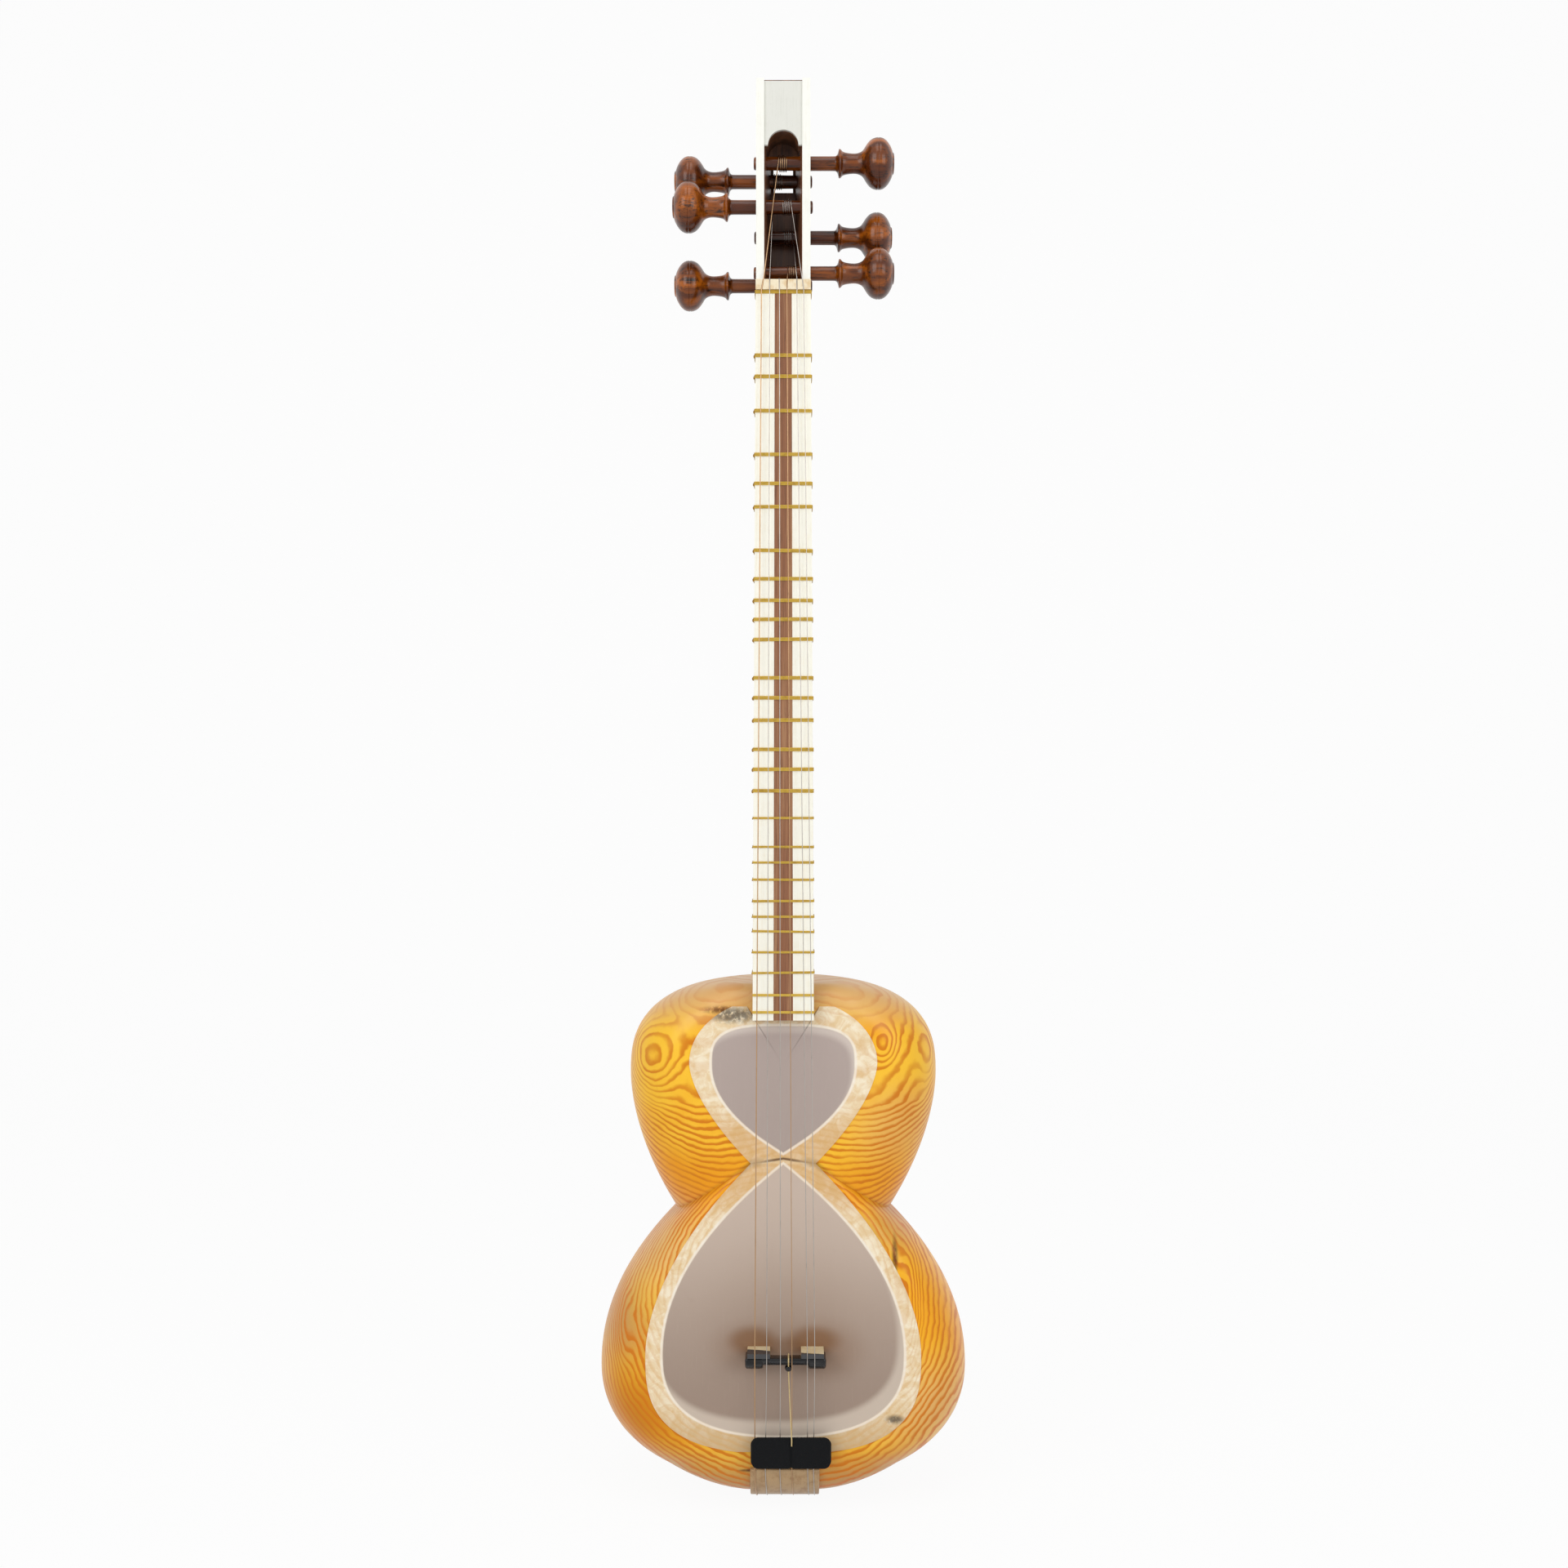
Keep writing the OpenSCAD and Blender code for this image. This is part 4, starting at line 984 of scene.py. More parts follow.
def finished(mesh: bpy.types.Mesh, bevel_mm: float, segments: int = 3) -> bpy.types.Mesh:
    """Rounds a mesh's edges.

    Args:
        mesh: The mesh.
        bevel_mm: Width of the rounding, in millimetres.
        segments: Faces across a rounding.

    Returns:
        A new plain mesh.
    """
    made = placed(mesh.name + "_raw", mesh)
    bevel = made.modifiers.new("round", "BEVEL")
    bevel.width = bevel_mm * MM
    bevel.segments = segments
    bevel.limit_method = "ANGLE"
    bevel.angle_limit = math.radians(35)
    return plain(made)


def plain(made: bpy.types.Object) -> bpy.types.Mesh:
    """Bakes an object's modifiers into a new mesh and removes the object.

    Args:
        made: The object.

    Returns:
        The mesh.
    """
    graph = bpy.context.evaluated_depsgraph_get()
    shown = made.evaluated_get(graph)
    mesh = bpy.data.meshes.new_from_object(shown, preserve_all_data_layers=True, depsgraph=graph)
    bpy.data.objects.remove(made)
    return mesh


# Geometry trees


class Tree(Bench):
    """A geometry tree with named inputs, closed by Realize Instances and Set Material."""

    def __init__(self, name: str, inputs: dict[str, str]) -> None:
        """Makes the tree.

        Args:
            name: The tree's name.
            inputs: Socket type of each named input.
        """
        group = bpy.data.node_groups.new(name, "GeometryNodeTree")
        super().__init__(group)
        group.interface.new_socket("Geometry", in_out="INPUT", socket_type="NodeSocketGeometry")
        for key, kind in inputs.items():
            group.interface.new_socket(key, in_out="INPUT", socket_type="NodeSocket" + kind)
        group.interface.new_socket("Geometry", in_out="OUTPUT", socket_type="NodeSocketGeometry")
        self.source = group.nodes.new("NodeGroupInput")

    def given(self, key: str) -> Link:
        """One named input."""
        return Link(self, self.source.outputs[key])

    def tube(self, radius: Link | float, sides: Link | int, more: dict | None = None) -> Link:
        """Sweeps a ring along the lines that come in.

        Args:
            radius: The ring's radius.
            sides: Its corners.
            more: Further inputs of the sweep.

        Returns:
            The swept surface.
        """
        line = self.node("GeometryNodeMeshToCurve", values={0: self.given("Geometry")})
        size = {"Resolution": sides, "Radius": radius}
        ring = self.node("GeometryNodeCurvePrimitiveCircle", {"mode": "RADIUS"}, size)
        ends = {"Curve": line, "Profile Curve": ring, **(more or {})}
        return self.node("GeometryNodeCurveToMesh", values=ends)

    def close(self, geometry: Link) -> "Tree":
        """Ends the tree.

        Args:
            geometry: What the tree makes.

        Returns:
            The tree itself.
        """
        real = self.node("GeometryNodeRealizeInstances", values={0: geometry})
        values = {"Geometry": real, "Material": self.given("Material")}
        self.node("NodeGroupOutput", values={0: self.node("GeometryNodeSetMaterial", values=values)})
        return self

    def grow(self, base: bpy.types.Mesh, values: dict) -> bpy.types.Mesh:
        """Runs the tree on a mesh.

        Args:
            base: The mesh it starts from.
            values: Value of each named input.

        Returns:
            The grown mesh, smooth shaded.
        """
        made = placed(base.name + "_seed", base)
        modifier = made.modifiers.new("grow", "NODES")
        modifier.node_group = self.tree
        for item in self.tree.interface.items_tree:
            if item.in_out == "INPUT" and item.name in values:
                modifier[item.identifier] = values[item.name]
        mesh = plain(made)
        smooth(mesh, 50)
        return mesh


def polyline(name: str, points: Sequence[Sequence[float]], closed: bool = False) -> bpy.types.Mesh:
    """Mesh of edges through points in millimetres.

    Args:
        name: The mesh's name.
        points: The points.
        closed: Whether the last meets the first.

    Returns:
        The mesh.
    """
    mesh = bpy.data.meshes.new(name)
    count = len(points)
    edges = [(i, (i + 1) % count) for i in range(count if closed else count - 1)]
    mesh.from_pydata([tuple(c * MM for c in p) for p in points], edges, [])
    return mesh


def wire_tree() -> Tree:
    """Tree that sweeps a round wire along a line of edges.

    Returns:
        The tree, with inputs Radius, Sides and Material.
    """
    tree = Tree("wire", {"Radius": "Float", "Sides": "Int", "Material": "Material"})
    return tree.close(tree.tube(tree.given("Radius"), tree.given("Sides"), {"Fill Caps": True}))


def band_tree() -> Tree:
    """Tree that winds turns of gut side by side and adds a knot.

    Returns:
        The tree, with inputs Turns, Step, Radius, Knot, Knot Place, Seed and Material.
    """
    kinds = {"Turns": "Int", "Step": "Float", "Radius": "Float", "Knot": "Float"}
    tree = Tree("gut_band", {**kinds, "Knot Place": "Vector", "Seed": "Int", "Material": "Material"})
    turns, step = tree.given("Turns"), tree.given("Step")
    tube = tree.tube(tree.given("Radius"), 8)
    start = tree.join(0.0, 0.0, (turns - 1) * step * -0.5)
    row = {"Count": turns, "Start Location": start, "Offset": tree.join(0.0, 0.0, step)}
    stack = tree.node("GeometryNodeMeshLine", {"mode": "OFFSET"}, row)
    lean = tree.node(
        "FunctionNodeRandomValue", {"data_type": "FLOAT_VECTOR"},
        {0: (-0.002, -0.005, 0.0), 1: (0.002, 0.005, 0.0), "Seed": tree.given("Seed")}
    )
    values = {"Points": stack, "Instance": tube, "Rotation": lean}
    laid = tree.node("GeometryNodeInstanceOnPoints", values=values)
    values = {"Segments": 12, "Rings": 8, "Radius": tree.given("Knot")}
    ball = tree.node("GeometryNodeMeshUVSphere", values=values)
    values = {"Geometry": ball, "Translation": tree.given("Knot Place"), "Scale": (0.85, 1.1, 1.25)}
    knot = tree.node("GeometryNodeTransform", values=values)
    joined = tree.tree.nodes.new("GeometryNodeJoinGeometry")
    for link in (laid, knot):
        tree.tree.links.new(link.socket, joined.inputs[0])
    return tree.close(Link(tree, joined.outputs[0]))


def lathe_tree() -> Tree:
    """Tree that turns a line of edges about itself by the radius kept on its points.

    Returns:
        The tree, with inputs Sides and Material.
    """
    tree = Tree("turned", {"Sides": "Int", "Material": "Material"})
    kept = {"Name": "turned_radius"}
    size = tree.node("GeometryNodeInputNamedAttribute", {"data_type": "FLOAT"}, kept)
    return tree.close(tree.tube(1.0, tree.given("Sides"), {"Scale": size, "Fill Caps": True}))


# Bowls and skins


@dataclass(frozen=True)
class BowlSizes:
    """Sizes of one bowl in millimetres.

    A start or wide value is a distance from the bowl's end, measured by way. A half or x value is a
    distance from the middle, a y value a depth, and a round or taper value a power of an outline.
    """

    end: float
    way: float
    side_half: float
    depth: float
    open_half: float
    skin_half: float
    side_wide: float
    back_wide: float
    face_start: float
    open_start: float
    skin_wide: float
    open_wide: float
    inner_start: float
    cap_face_x: float
    face_x: float
    cap_side_x: float
    cap_front_y: float
    inner_front_y: float
    cap_side_y: float
    side_y: float
    cap_back_y: float
    side_round: float
    open_round: float
    skin_round: float
    side_taper: float
    open_taper: float
    skin_taper: float

    def at(self, distance: float) -> float:
        """Height at a distance from the bowl's end."""
        return self.end + self.way * distance


SMALL = BowlSizes(
    end=TOP, way=-1.0, side_half=103.0, depth=160.0, open_half=47.0, skin_half=61.0, side_wide=63.0,
    back_wide=69.0, face_start=14.0, open_start=26.0, skin_wide=51.0, open_wide=52.0,
    inner_start=21.0, cap_face_x=25.0, face_x=33.0, cap_side_x=39.0, cap_front_y=14.0,
    inner_front_y=20.0, cap_side_y=38.0, side_y=55.0, cap_back_y=75.0, side_round=2.6,
    open_round=3.2, skin_round=2.05, side_taper=1.8, open_taper=2.05, skin_taper=1.6
)
LARGE = BowlSizes(
    end=TOP - 336.6, way=1.0, side_half=123.0, depth=178.0, open_half=79.0, skin_half=89.5,
    side_wide=76.8, back_wide=82.6, face_start=33.6, open_start=43.6, skin_wide=95.9,
    open_wide=96.5, inner_start=12.0, cap_face_x=16.0, face_x=30.0, cap_side_x=30.0,
    cap_front_y=30.0, inner_front_y=38.0, cap_side_y=45.0, side_y=60.0, cap_back_y=70.0,
    side_round=2.15, open_round=2.5, skin_round=2.8, side_taper=2.05, open_taper=2.0, skin_taper=1.8
)


@dataclass
class CarvedBody:
    """The double bowl in two glued halves, and the skins over its openings, in millimetres.

    The marks are the stations where the flat face starts, the opening starts, the bowl is widest and the
    opening ends, and the counts are the sections between them.
    """

    waist_z: float = TOP - 153.0
    waist_half: float = 71.7
    waist_side_y: float = 50.0
    waist_depth: float = 118.0
    crease_z: float = TOP - 112.7
    crease_rim_z: float = TOP - 116.0
    crease_rim_x: float = 21.0
    tip_gap: float = 3.0
    wall: float = 6.0
    rim: float = 6.0
    skin: float = 0.5
    back_round: float = 2.4
    back_taper: float = 2.0
    front_power: float = 2 / 2.1
    behind_power: float = 2 / 2.2
    small_shade: tuple[float, float] = (-2.4, -4.4)
    large_shade: tuple[float, float] = (-4.4, 9.6)
    neck_notch: tuple[float, float] = (20.3, -473.2)
    skin_rings: int = 70
    marks: tuple[float, float, float, float] = (5 / 27, 7 / 27, 15 / 27, 26 / 27)
    counts: tuple[int, int, int, int, int] = (12, 3, 26, 34, 3)
    front_steps: int = 22
    back_steps: int = 26

    def stations(self) -> list[float]:
        """Places of the sections along a bowl, from its end to the crease.

        Returns:
            The places, from nought to one.
        """
        stops = (0.0, *self.marks, 1.0)
        places = [lerp(a, b, k / n) for a, b, n in zip(stops, stops[1:], self.counts) for k in range(n)]
        return [*places, 1.0]

    def outline(
        self, s: float, s0: float, s1: float, x: Sequence[float], z: Sequence[float], n: float, p: float
    ) -> tuple[float, float]:
        """Point of an outline with a round end and a taper.

        Args:
            s: Station.
            s0: Station where the outline starts.
            s1: Station where it ends.
            x: Half widths at its end, its widest place and its tip.
            z: The three heights.
            n: Roundness of the end.
            p: Power of the taper.

        Returns:
            Half width and height.
        """
        wide = self.marks[2]
        if s < wide:
            share = (s - s0) / (wide - s0)
            start = math.asin((x[0] / x[1]) ** (n / 2))
            a = lerp(start, math.pi / 2, share)
            k = (z[0] - z[1]) / math.cos(start) ** (2 / n)
            return x[1] * math.sin(a) ** (2 / n), z[1] + k * max(math.cos(a), 0.0) ** (2 / n)
        share = (s - wide) / (s1 - wide)
        return lerp(x[1], x[2], share**p), lerp(z[1], z[2], share)

    def edge_point(self, b: BowlSizes, s: float, inner: bool) -> np.ndarray:
        """Front edge: the seam at the ends and the opening's edge between.

        Args:
            b: The bowl.
            s: Station.
            inner: Whether it lies on the inner surface.

        Returns:
            The point in millimetres.
        """
        face, opening, _, tip = self.marks
        y0 = self.rim if inner else 0.0
        y_end = b.inner_front_y if inner else b.cap_front_y
        z_end = b.at(b.inner_start if inner else 0.0)
        limit = opening if inner else face
        z_face = b.at(b.open_start if inner else b.face_start)
        z_open = b.at(b.open_start)
        z_tip = self.crease_z - b.way * self.tip_gap
        if s < limit:
            a = math.pi / 2 * s / limit
            return np.array([0.0, lerp(y_end, y0, math.sin(a)), lerp(z_face, z_end, math.cos(a))])
        if s < opening:
            return np.array([0.0, y0, lerp(z_face, z_open, (s - face) / (opening - face))])
        if s >= tip:
            return np.array([0.0, y0, lerp(z_tip, self.crease_z, (s - tip) / (1 - tip))])
        heights = (z_open, b.at(b.open_wide), z_tip)
        x, z = self.outline(s, opening, tip, (0.0, b.open_half, 0.0), heights, b.open_round, b.open_taper)
        return np.array([x, y0, z])

    def face_point(self, b: BowlSizes, s: float, inner: bool) -> np.ndarray:
        """Outer edge of the flat face.

        Args:
            b: The bowl.
            s: Station.
            inner: Whether it lies on the inner surface.

        Returns:
            The point in millimetres.
        """
        face, opening = self.marks[:2]
        edge = self.edge_point(b, s, inner)
        w = self.wall if inner else 0.0
        limit = opening if inner else face
        z_face = b.at(b.open_start if inner else b.face_start)
        if s < limit:
            return np.array([lerp(b.cap_face_x, b.face_x, s / limit) - w, edge[1], edge[2]])
        widths = (b.face_x - w, b.skin_half - w, self.crease_rim_x - w)
        heights = (z_face, b.at(b.skin_wide), self.crease_rim_z)
        x, z = self.outline(s, limit, 1.0, widths, heights, b.skin_round, b.skin_taper)
        return np.array([x, edge[1], z])

    def side_point(self, b: BowlSizes, s: float, inner: bool) -> np.ndarray:
        """Widest line of the side.

        Args:
            b: The bowl.
            s: Station.
            inner: Whether it lies on the inner surface.

        Returns:
            The point in millimetres.
        """
        w = self.wall if inner else 0.0
        wide = self.marks[2]
        widths = (b.cap_side_x - w, b.side_half - w, self.waist_half - w)
        heights = (b.at(b.inner_start if inner else 0.0), b.at(b.side_wide), self.waist_z)
        x, z = self.outline(s, 0.0, 1.0, widths, heights, b.side_round, b.side_taper)
        if s < wide:
            y = lerp(b.cap_side_y, b.side_y, math.sin(math.pi / 2 * s / wide))
        else:
            y = lerp(b.side_y, self.waist_side_y, (1 - math.cos(math.pi * (s - wide) / (1 - wide))) / 2)
        return np.array([x, y, z])

    def back_point(self, b: BowlSizes, s: float, inner: bool) -> np.ndarray:
        """Middle line of the back.

        Args:
            b: The bowl.
            s: Station.
            inner: Whether it lies on the inner surface.

        Returns:
            The point in millimetres.
        """
        w = self.wall if inner else 0.0
        depths = (b.cap_back_y - w, b.depth - w, self.waist_depth - w)
        heights = (b.at(b.inner_start if inner else 0.0), b.at(b.back_wide), self.waist_z)
        y, z = self.outline(s, 0.0, 1.0, depths, heights, self.back_round, self.back_taper)
        return np.array([0.0, y, z])

    def section(self, b: BowlSizes, s: float, inner: bool) -> list[np.ndarray]:
        """One station of a half bowl, from the front edge round the side to the seam at the back.

        Args:
            b: The bowl.
            s: Station.
            inner: Whether it lies on the inner surface.

        Returns:
            Its points.
        """
        p0, p1 = self.edge_point(b, s, inner), self.face_point(b, s, inner)
        p2, p3 = self.side_point(b, s, inner), self.back_point(b, s, inner)
        points = [lerp(p0, p1, k / 3) for k in range(3)]
        for k in range(self.front_steps + 1):
            a = math.pi / 2 * k / self.front_steps
            u, v = math.sin(a) ** self.front_power, 1 - max(math.cos(a), 0.0) ** self.front_power
            points.append(np.array([lerp(p1[0], p2[0], u), lerp(p1[1], p2[1], v), lerp(p1[2], p2[2], u)]))
        for k in range(1, self.back_steps + 1):
            a = math.pi / 2 * k / self.back_steps
            u, v = max(math.cos(a), 0.0) ** self.behind_power, math.sin(a) ** self.behind_power
            points.append(np.array([p2[0] * u, lerp(p2[1], p3[1], v), lerp(p3[2], p2[2], u)]))
        return points

    def half_mesh(self, half: Half) -> bpy.types.Mesh:
        """Closed shell of one half.

        Args:
            half: Which half.

        Returns:
            The mesh.
        """
        places = self.stations()
        points: list[np.ndarray] = []
        for inner in (False, True):
            for b, run in ((SMALL, places), (LARGE, places[-2::-1])):
                for s in run:
                    points += self.section(b, s, inner)
        columns = 4 + self.front_steps + self.back_steps
        rows = 2 * len(places) - 1
        base = rows * columns
        ends = [(b, distance) for b in (SMALL, LARGE) for distance in (0.0, b.inner_start)]
        centres = [np.array([0.0, b.cap_side_y, b.at(distance)]) for b, distance in ends]
        faces: list[tuple[int, ...]] = []
        for i in range(rows - 1):
            for j in range(columns - 1):
                a = i * columns + j
                faces.append((a, a + 1, a + columns + 1, a + columns))
                faces.append((base + a, base + a + columns, base + a + columns + 1, base + a + 1))
            for a in (i * columns, i * columns + columns - 1):
                faces.append((a, a + columns, base + a + columns, base + a))
        c, last = 2 * base, (rows - 1) * columns
        for j in range(columns - 1):
            faces += [(c, j, j + 1), (c + 1, base + j + 1, base + j)]
            faces += [(c + 2, last + j + 1, last + j), (c + 3, base + last + j, base + last + j + 1)]
        far = columns - 1
        faces += [(0, base, c + 1, c), (far, c, c + 1, base + far)]
        faces += [(last, c + 2, c + 3, base + last), (last + far, base + last + far, c + 3, c + 2)]
        shown = [p * (half.value, 1.0, 1.0) for p in points + centres]
        return mesh_mm("bowl_" + half.name.lower(), shown, faces, 32.0)

    def rim_line(self, b: BowlSizes) -> np.ndarray:
        """Closed outline of a skin, as points in X and Z.

        Args:
            b: The bowl it covers.

        Returns:
            The points.
        """
        places = [s for s in self.stations() if s >= self.marks[0] - 1e-9]
        right = [self.face_point(b, s, False)[[0, 2]] for s in places] + [np.array([0.0, self.crease_z])]
        top = [np.array([x, right[0][1]]) for x in np.linspace(0.0, right[0][0], 8)[:-1]]
        line = top + right
        mirrored = [p * (-1, 1) for p in line[-2:0:-1]]
        return np.array(line + mirrored)

    def opening_line(self, b: BowlSizes, shift: tuple[float, float] = (0.0, 0.0)) -> np.ndarray:
        """Closed outline of an opening, as points in X and Z.

        Args:
            b: The bowl.
            shift: How far it is moved.

        Returns:
            The points.
        """
        _, opening, wide, tip = self.marks
        places = [lerp(opening, wide, (k / 60) ** 1.6) for k in range(60)]
        places += [lerp(wide, tip, k / 80) for k in range(81)]
        right = [self.edge_point(b, min(s, tip - 1e-6), False)[[0, 2]] for s in places]
        return np.array(right + [p * (-1, 1) for p in right[-2:0:-1]]) + shift

    def skin_mesh(
        self, b: BowlSizes, name: str, shift: tuple[float, float], notch: tuple[float, float] | None
    ) -> bpy.types.Mesh:
        """A skin as a thin closed sheet that keeps its distances to the opening.

        Args:
            b: The bowl it covers.
            name: The mesh's name.
            shift: How far the shaded field is moved from the opening.
            notch: Half width and height of the cut for the neck.

        Returns:
            The mesh, with the attributes edge and inner in millimetres.
        """
        rim = self.rim_line(b)
        if notch:
            inside = (np.abs(rim[:, 0]) < notch[0]) & (rim[:, 1] > notch[1])
            rim[inside, 1] = notch[1]
        middle = np.array([0.0, b.at(b.open_wide)])
        rings = [((k + 1) / self.skin_rings) ** 0.85 for k in range(self.skin_rings)]
        flat = [middle] + [lerp(middle, p, r) for r in rings for p in rim]
        n = len(rim)
        layer = len(flat)
        points = [(p[0], -self.skin, p[1]) for p in flat] + [(p[0], 0.0, p[1]) for p in flat]
        faces: list[tuple[int, ...]] = []
        for j in range(n):
            k = (j + 1) % n
            faces += [(0, 1 + j, 1 + k), (layer, layer + 1 + k, layer + 1 + j)]
            for i in range(len(rings) - 1):
                a, c = 1 + i * n, 1 + (i + 1) * n
                front = (a + j, c + j, c + k, a + k)
                faces += [front, tuple(layer + corner for corner in reversed(front))]
            o = 1 + (len(rings) - 1) * n
            faces.append((o + j, layer + o + j, layer + o + k, o + k))
        mesh = mesh_mm(name, points, faces, 40.0)
        co = np.zeros(len(mesh.vertices) * 3)
        mesh.vertices.foreach_get("co", co)
        plan = co.reshape(-1, 3)[:, [0, 2]] / MM
        for key, line in (("edge", self.opening_line(b)), ("inner", self.opening_line(b, shift))):
            kept = mesh.attributes.new(key, "FLOAT", "POINT")
            kept.data.foreach_set("value", inside_distance(plan, line))
        return mesh

    def build(self) -> None:
        """Makes the halves and the skins."""
        for half in Half:
            name = "bowl_half_" + half.name.lower()
            piece("carved_" + half.name.lower(), self.half_mesh(half), MULBERRY, name)
        small = self.skin_mesh(SMALL, "small_sheet", self.small_shade, self.neck_notch)
        piece("small_sheet", small, SMALL_SKIN, "small_skin")
        large = self.skin_mesh(LARGE, "large_sheet", self.large_shade, None)
        piece("large_sheet", large, LARGE_SKIN, "large_skin")


def inside_distance(points: np.ndarray, line: np.ndarray) -> np.ndarray:
    """Distance of points inside a closed line, negative outside it.

    Args:
        points: Points in the plane.
        line: Corners of the line.

    Returns:
        One distance for each point.
    """
    best = np.full(len(points), 1e9)
    crossed = np.zeros(len(points), bool)
    for a, b in zip(line, np.roll(line, -1, axis=0)):
        step = b - a
        share = np.clip(((points - a) @ step) / max(step @ step, 1e-12), 0, 1)
        best = np.minimum(best, np.linalg.norm(points - a - share[:, None] * step, axis=1))
        spans = (a[1] > points[:, 1]) != (b[1] > points[:, 1])
        at = a[0] + (points[:, 1] - a[1]) * step[0] / (step[1] if abs(step[1]) > 1e-12 else 1e-12)
        crossed ^= spans & (points[:, 0] < at)
    return np.where(crossed, best, -best)


# Neck and frets


@dataclass
class Neck:
    """The neck's shaft, its finishes and the gut tied round it, in millimetres.

    A lean is the slope of a fret's band in the front view; the uneven ones are listed by number.
    """

    nut_half: float = 17.75
    heel_half: float = 19.75
    length: float = -TOP
    round_y: float = 4.0
    front_y: float = -10.0
    wood_y: float = -6.0
    scale: float = SCALE
    nut_z: float = -2.6
    gap: float = 0.08
    wide_turns: int = 4
    narrow_turns: int = 3
    cord_r: float = 0.29
    thin_cord_r: float = 0.25
    last_wide: int = 16
    cents: tuple[int, ...] = (
        110, 147, 209, 291, 348, 395, 487, 549, 598, 642, 690, 786, 838, 898,
        980, 1038, 1103, 1189, 1285, 1339, 1401, 1481, 1542, 1602, 1689, 1780
    )
    movable: tuple[int, ...] = (1, 4, 7, 9, 12, 15, 19, 22)
    lean: float = 0.004
    lean_share: float = 0.35
    leans: tuple[tuple[int, float], ...] = (
        (2, 0.012), (6, 0.034), (10, -0.02), (12, 0.01), (22, 0.012), (23, 0.03), (25, -0.03)
    )
    wide_knot: float = 0.95
    narrow_knot: float = 0.45
    knot_place: Point = (-0.15, 2.2, -0.5)
    tie_drop: float = 1.25
    tie_r: float = 0.28
    tie_seed: int = 90
    over_length: float = 22.0
    tongue_length: float = 15.0
    tongue_y: float = 14.0
    overlap: float = 0.5

    def half_width(self, z: float) -> float:
        """Half width of the neck at a height."""
        return lerp(self.nut_half, self.heel_half, -z / self.length)

    def loop(self, z: float, out: float, front: float) -> list[Point]:
        """Path of a cord round the neck.

        Args:
            z: Height.
            out: Distance from the neck to the middle of the cord.
            front: Depth of the neck's front there.

        Returns:
            Points of a closed path about the height nought.
        """
        half, corner = self.half_width(z), 0.5
        path: list[Point] = []
        for cx, cy, a0, a1 in (
            (half - corner, front + corner, -90, 0), (-half + corner, front + corner, 180, 270)
        ):
            for k in range(5):
                a = math.radians(lerp(a0, a1, k / 4))
                path.append((cx + (corner + out) * math.cos(a), cy + (corner + out) * math.sin(a), 0.0))
            if cx > 0:
                for k in range(29):
                    a = math.radians(180 * k / 28)
                    path.append(((half + out) * math.cos(a), self.round_y + (half + out) * math.sin(a), 0.0))
        return path

    def band(
        self, tree: Tree, name: str, z: float, turns: int, r: float, knot: float, lean: float, seed: int
    ) -> bpy.types.Mesh:
        """Turns of gut tied round the neck.

        Args:
            tree: The tree that winds them.
            name: Name of the mesh.
            z: Height.
            turns: Number of turns.
            r: Radius of the cord.
            knot: Radius of the knot.
            lean: Slope of the band in the front view.
            seed: Seed of the turns' unevenness.

        Returns:
            The mesh in place.
        """
        path = self.loop(z, self.gap + r, self.front_y)
        half = self.half_width(z) + self.gap + r
        place = Vector((self.knot_place[0] - half, self.front_y + self.knot_place[1], self.knot_place[2]))
        values = {
            "Turns": turns,
            "Step": 2.02 * r * MM,
            "Radius": r * MM,
            "Knot": knot * MM,
            "Knot Place": place * MM,
            "Seed": seed,
            "Material": GUT.material(),
        }
        mesh = tree.grow(polyline(name, path, True), values)
        mesh.transform(Matrix.Translation((0, 0, z * MM)) @ Matrix.Rotation(lean * self.lean_share, 4, "Y"))
        return mesh

    def shaft_mesh(self) -> bpy.types.Mesh:
        """The shaft with its round back, its tongue and the part over the body.

        Returns:
            The mesh.
        """
        points: list[Point] = []
        faces: list[tuple[int, ...]] = []
        arc = 48
        stops = [0.0, *np.linspace(-6.0, -self.length, 40)]
        for z in stops:
            w = self.half_width(z)
            ring = [(w, self.wood_y, z), (w, self.round_y, z)]
            for a in (math.pi * k / arc for k in range(1, arc)):
                ring.append((w * math.cos(a), self.round_y + w * math.sin(a), z))
            points += ring + [(-w, self.round_y, z), (-w, self.wood_y, z)]
        n = arc + 3
        for a in range(0, (len(stops) - 1) * n, n):
            faces += [(a + j, a + (j + 1) % n, a + n + (j + 1) % n, a + n + j) for j in range(n)]
        faces.append(tuple(range(n)))
        faces.append(tuple(range((len(stops) - 1) * n, len(stops) * n)))
        shaft = mesh_mm("neck_shaft", points, faces, 35.0)
        half, high = self.heel_half, TOP + self.overlap
        over = box_mesh("neck_over", (-half, self.wood_y, TOP - self.over_length), (half, 0.0, high))
        low = (-half, -self.overlap, TOP - self.tongue_length)
        tongue = box_mesh("neck_tongue", low, (half, self.tongue_y, high))
        return join_meshes("neck_shaft", [shaft, over, tongue])

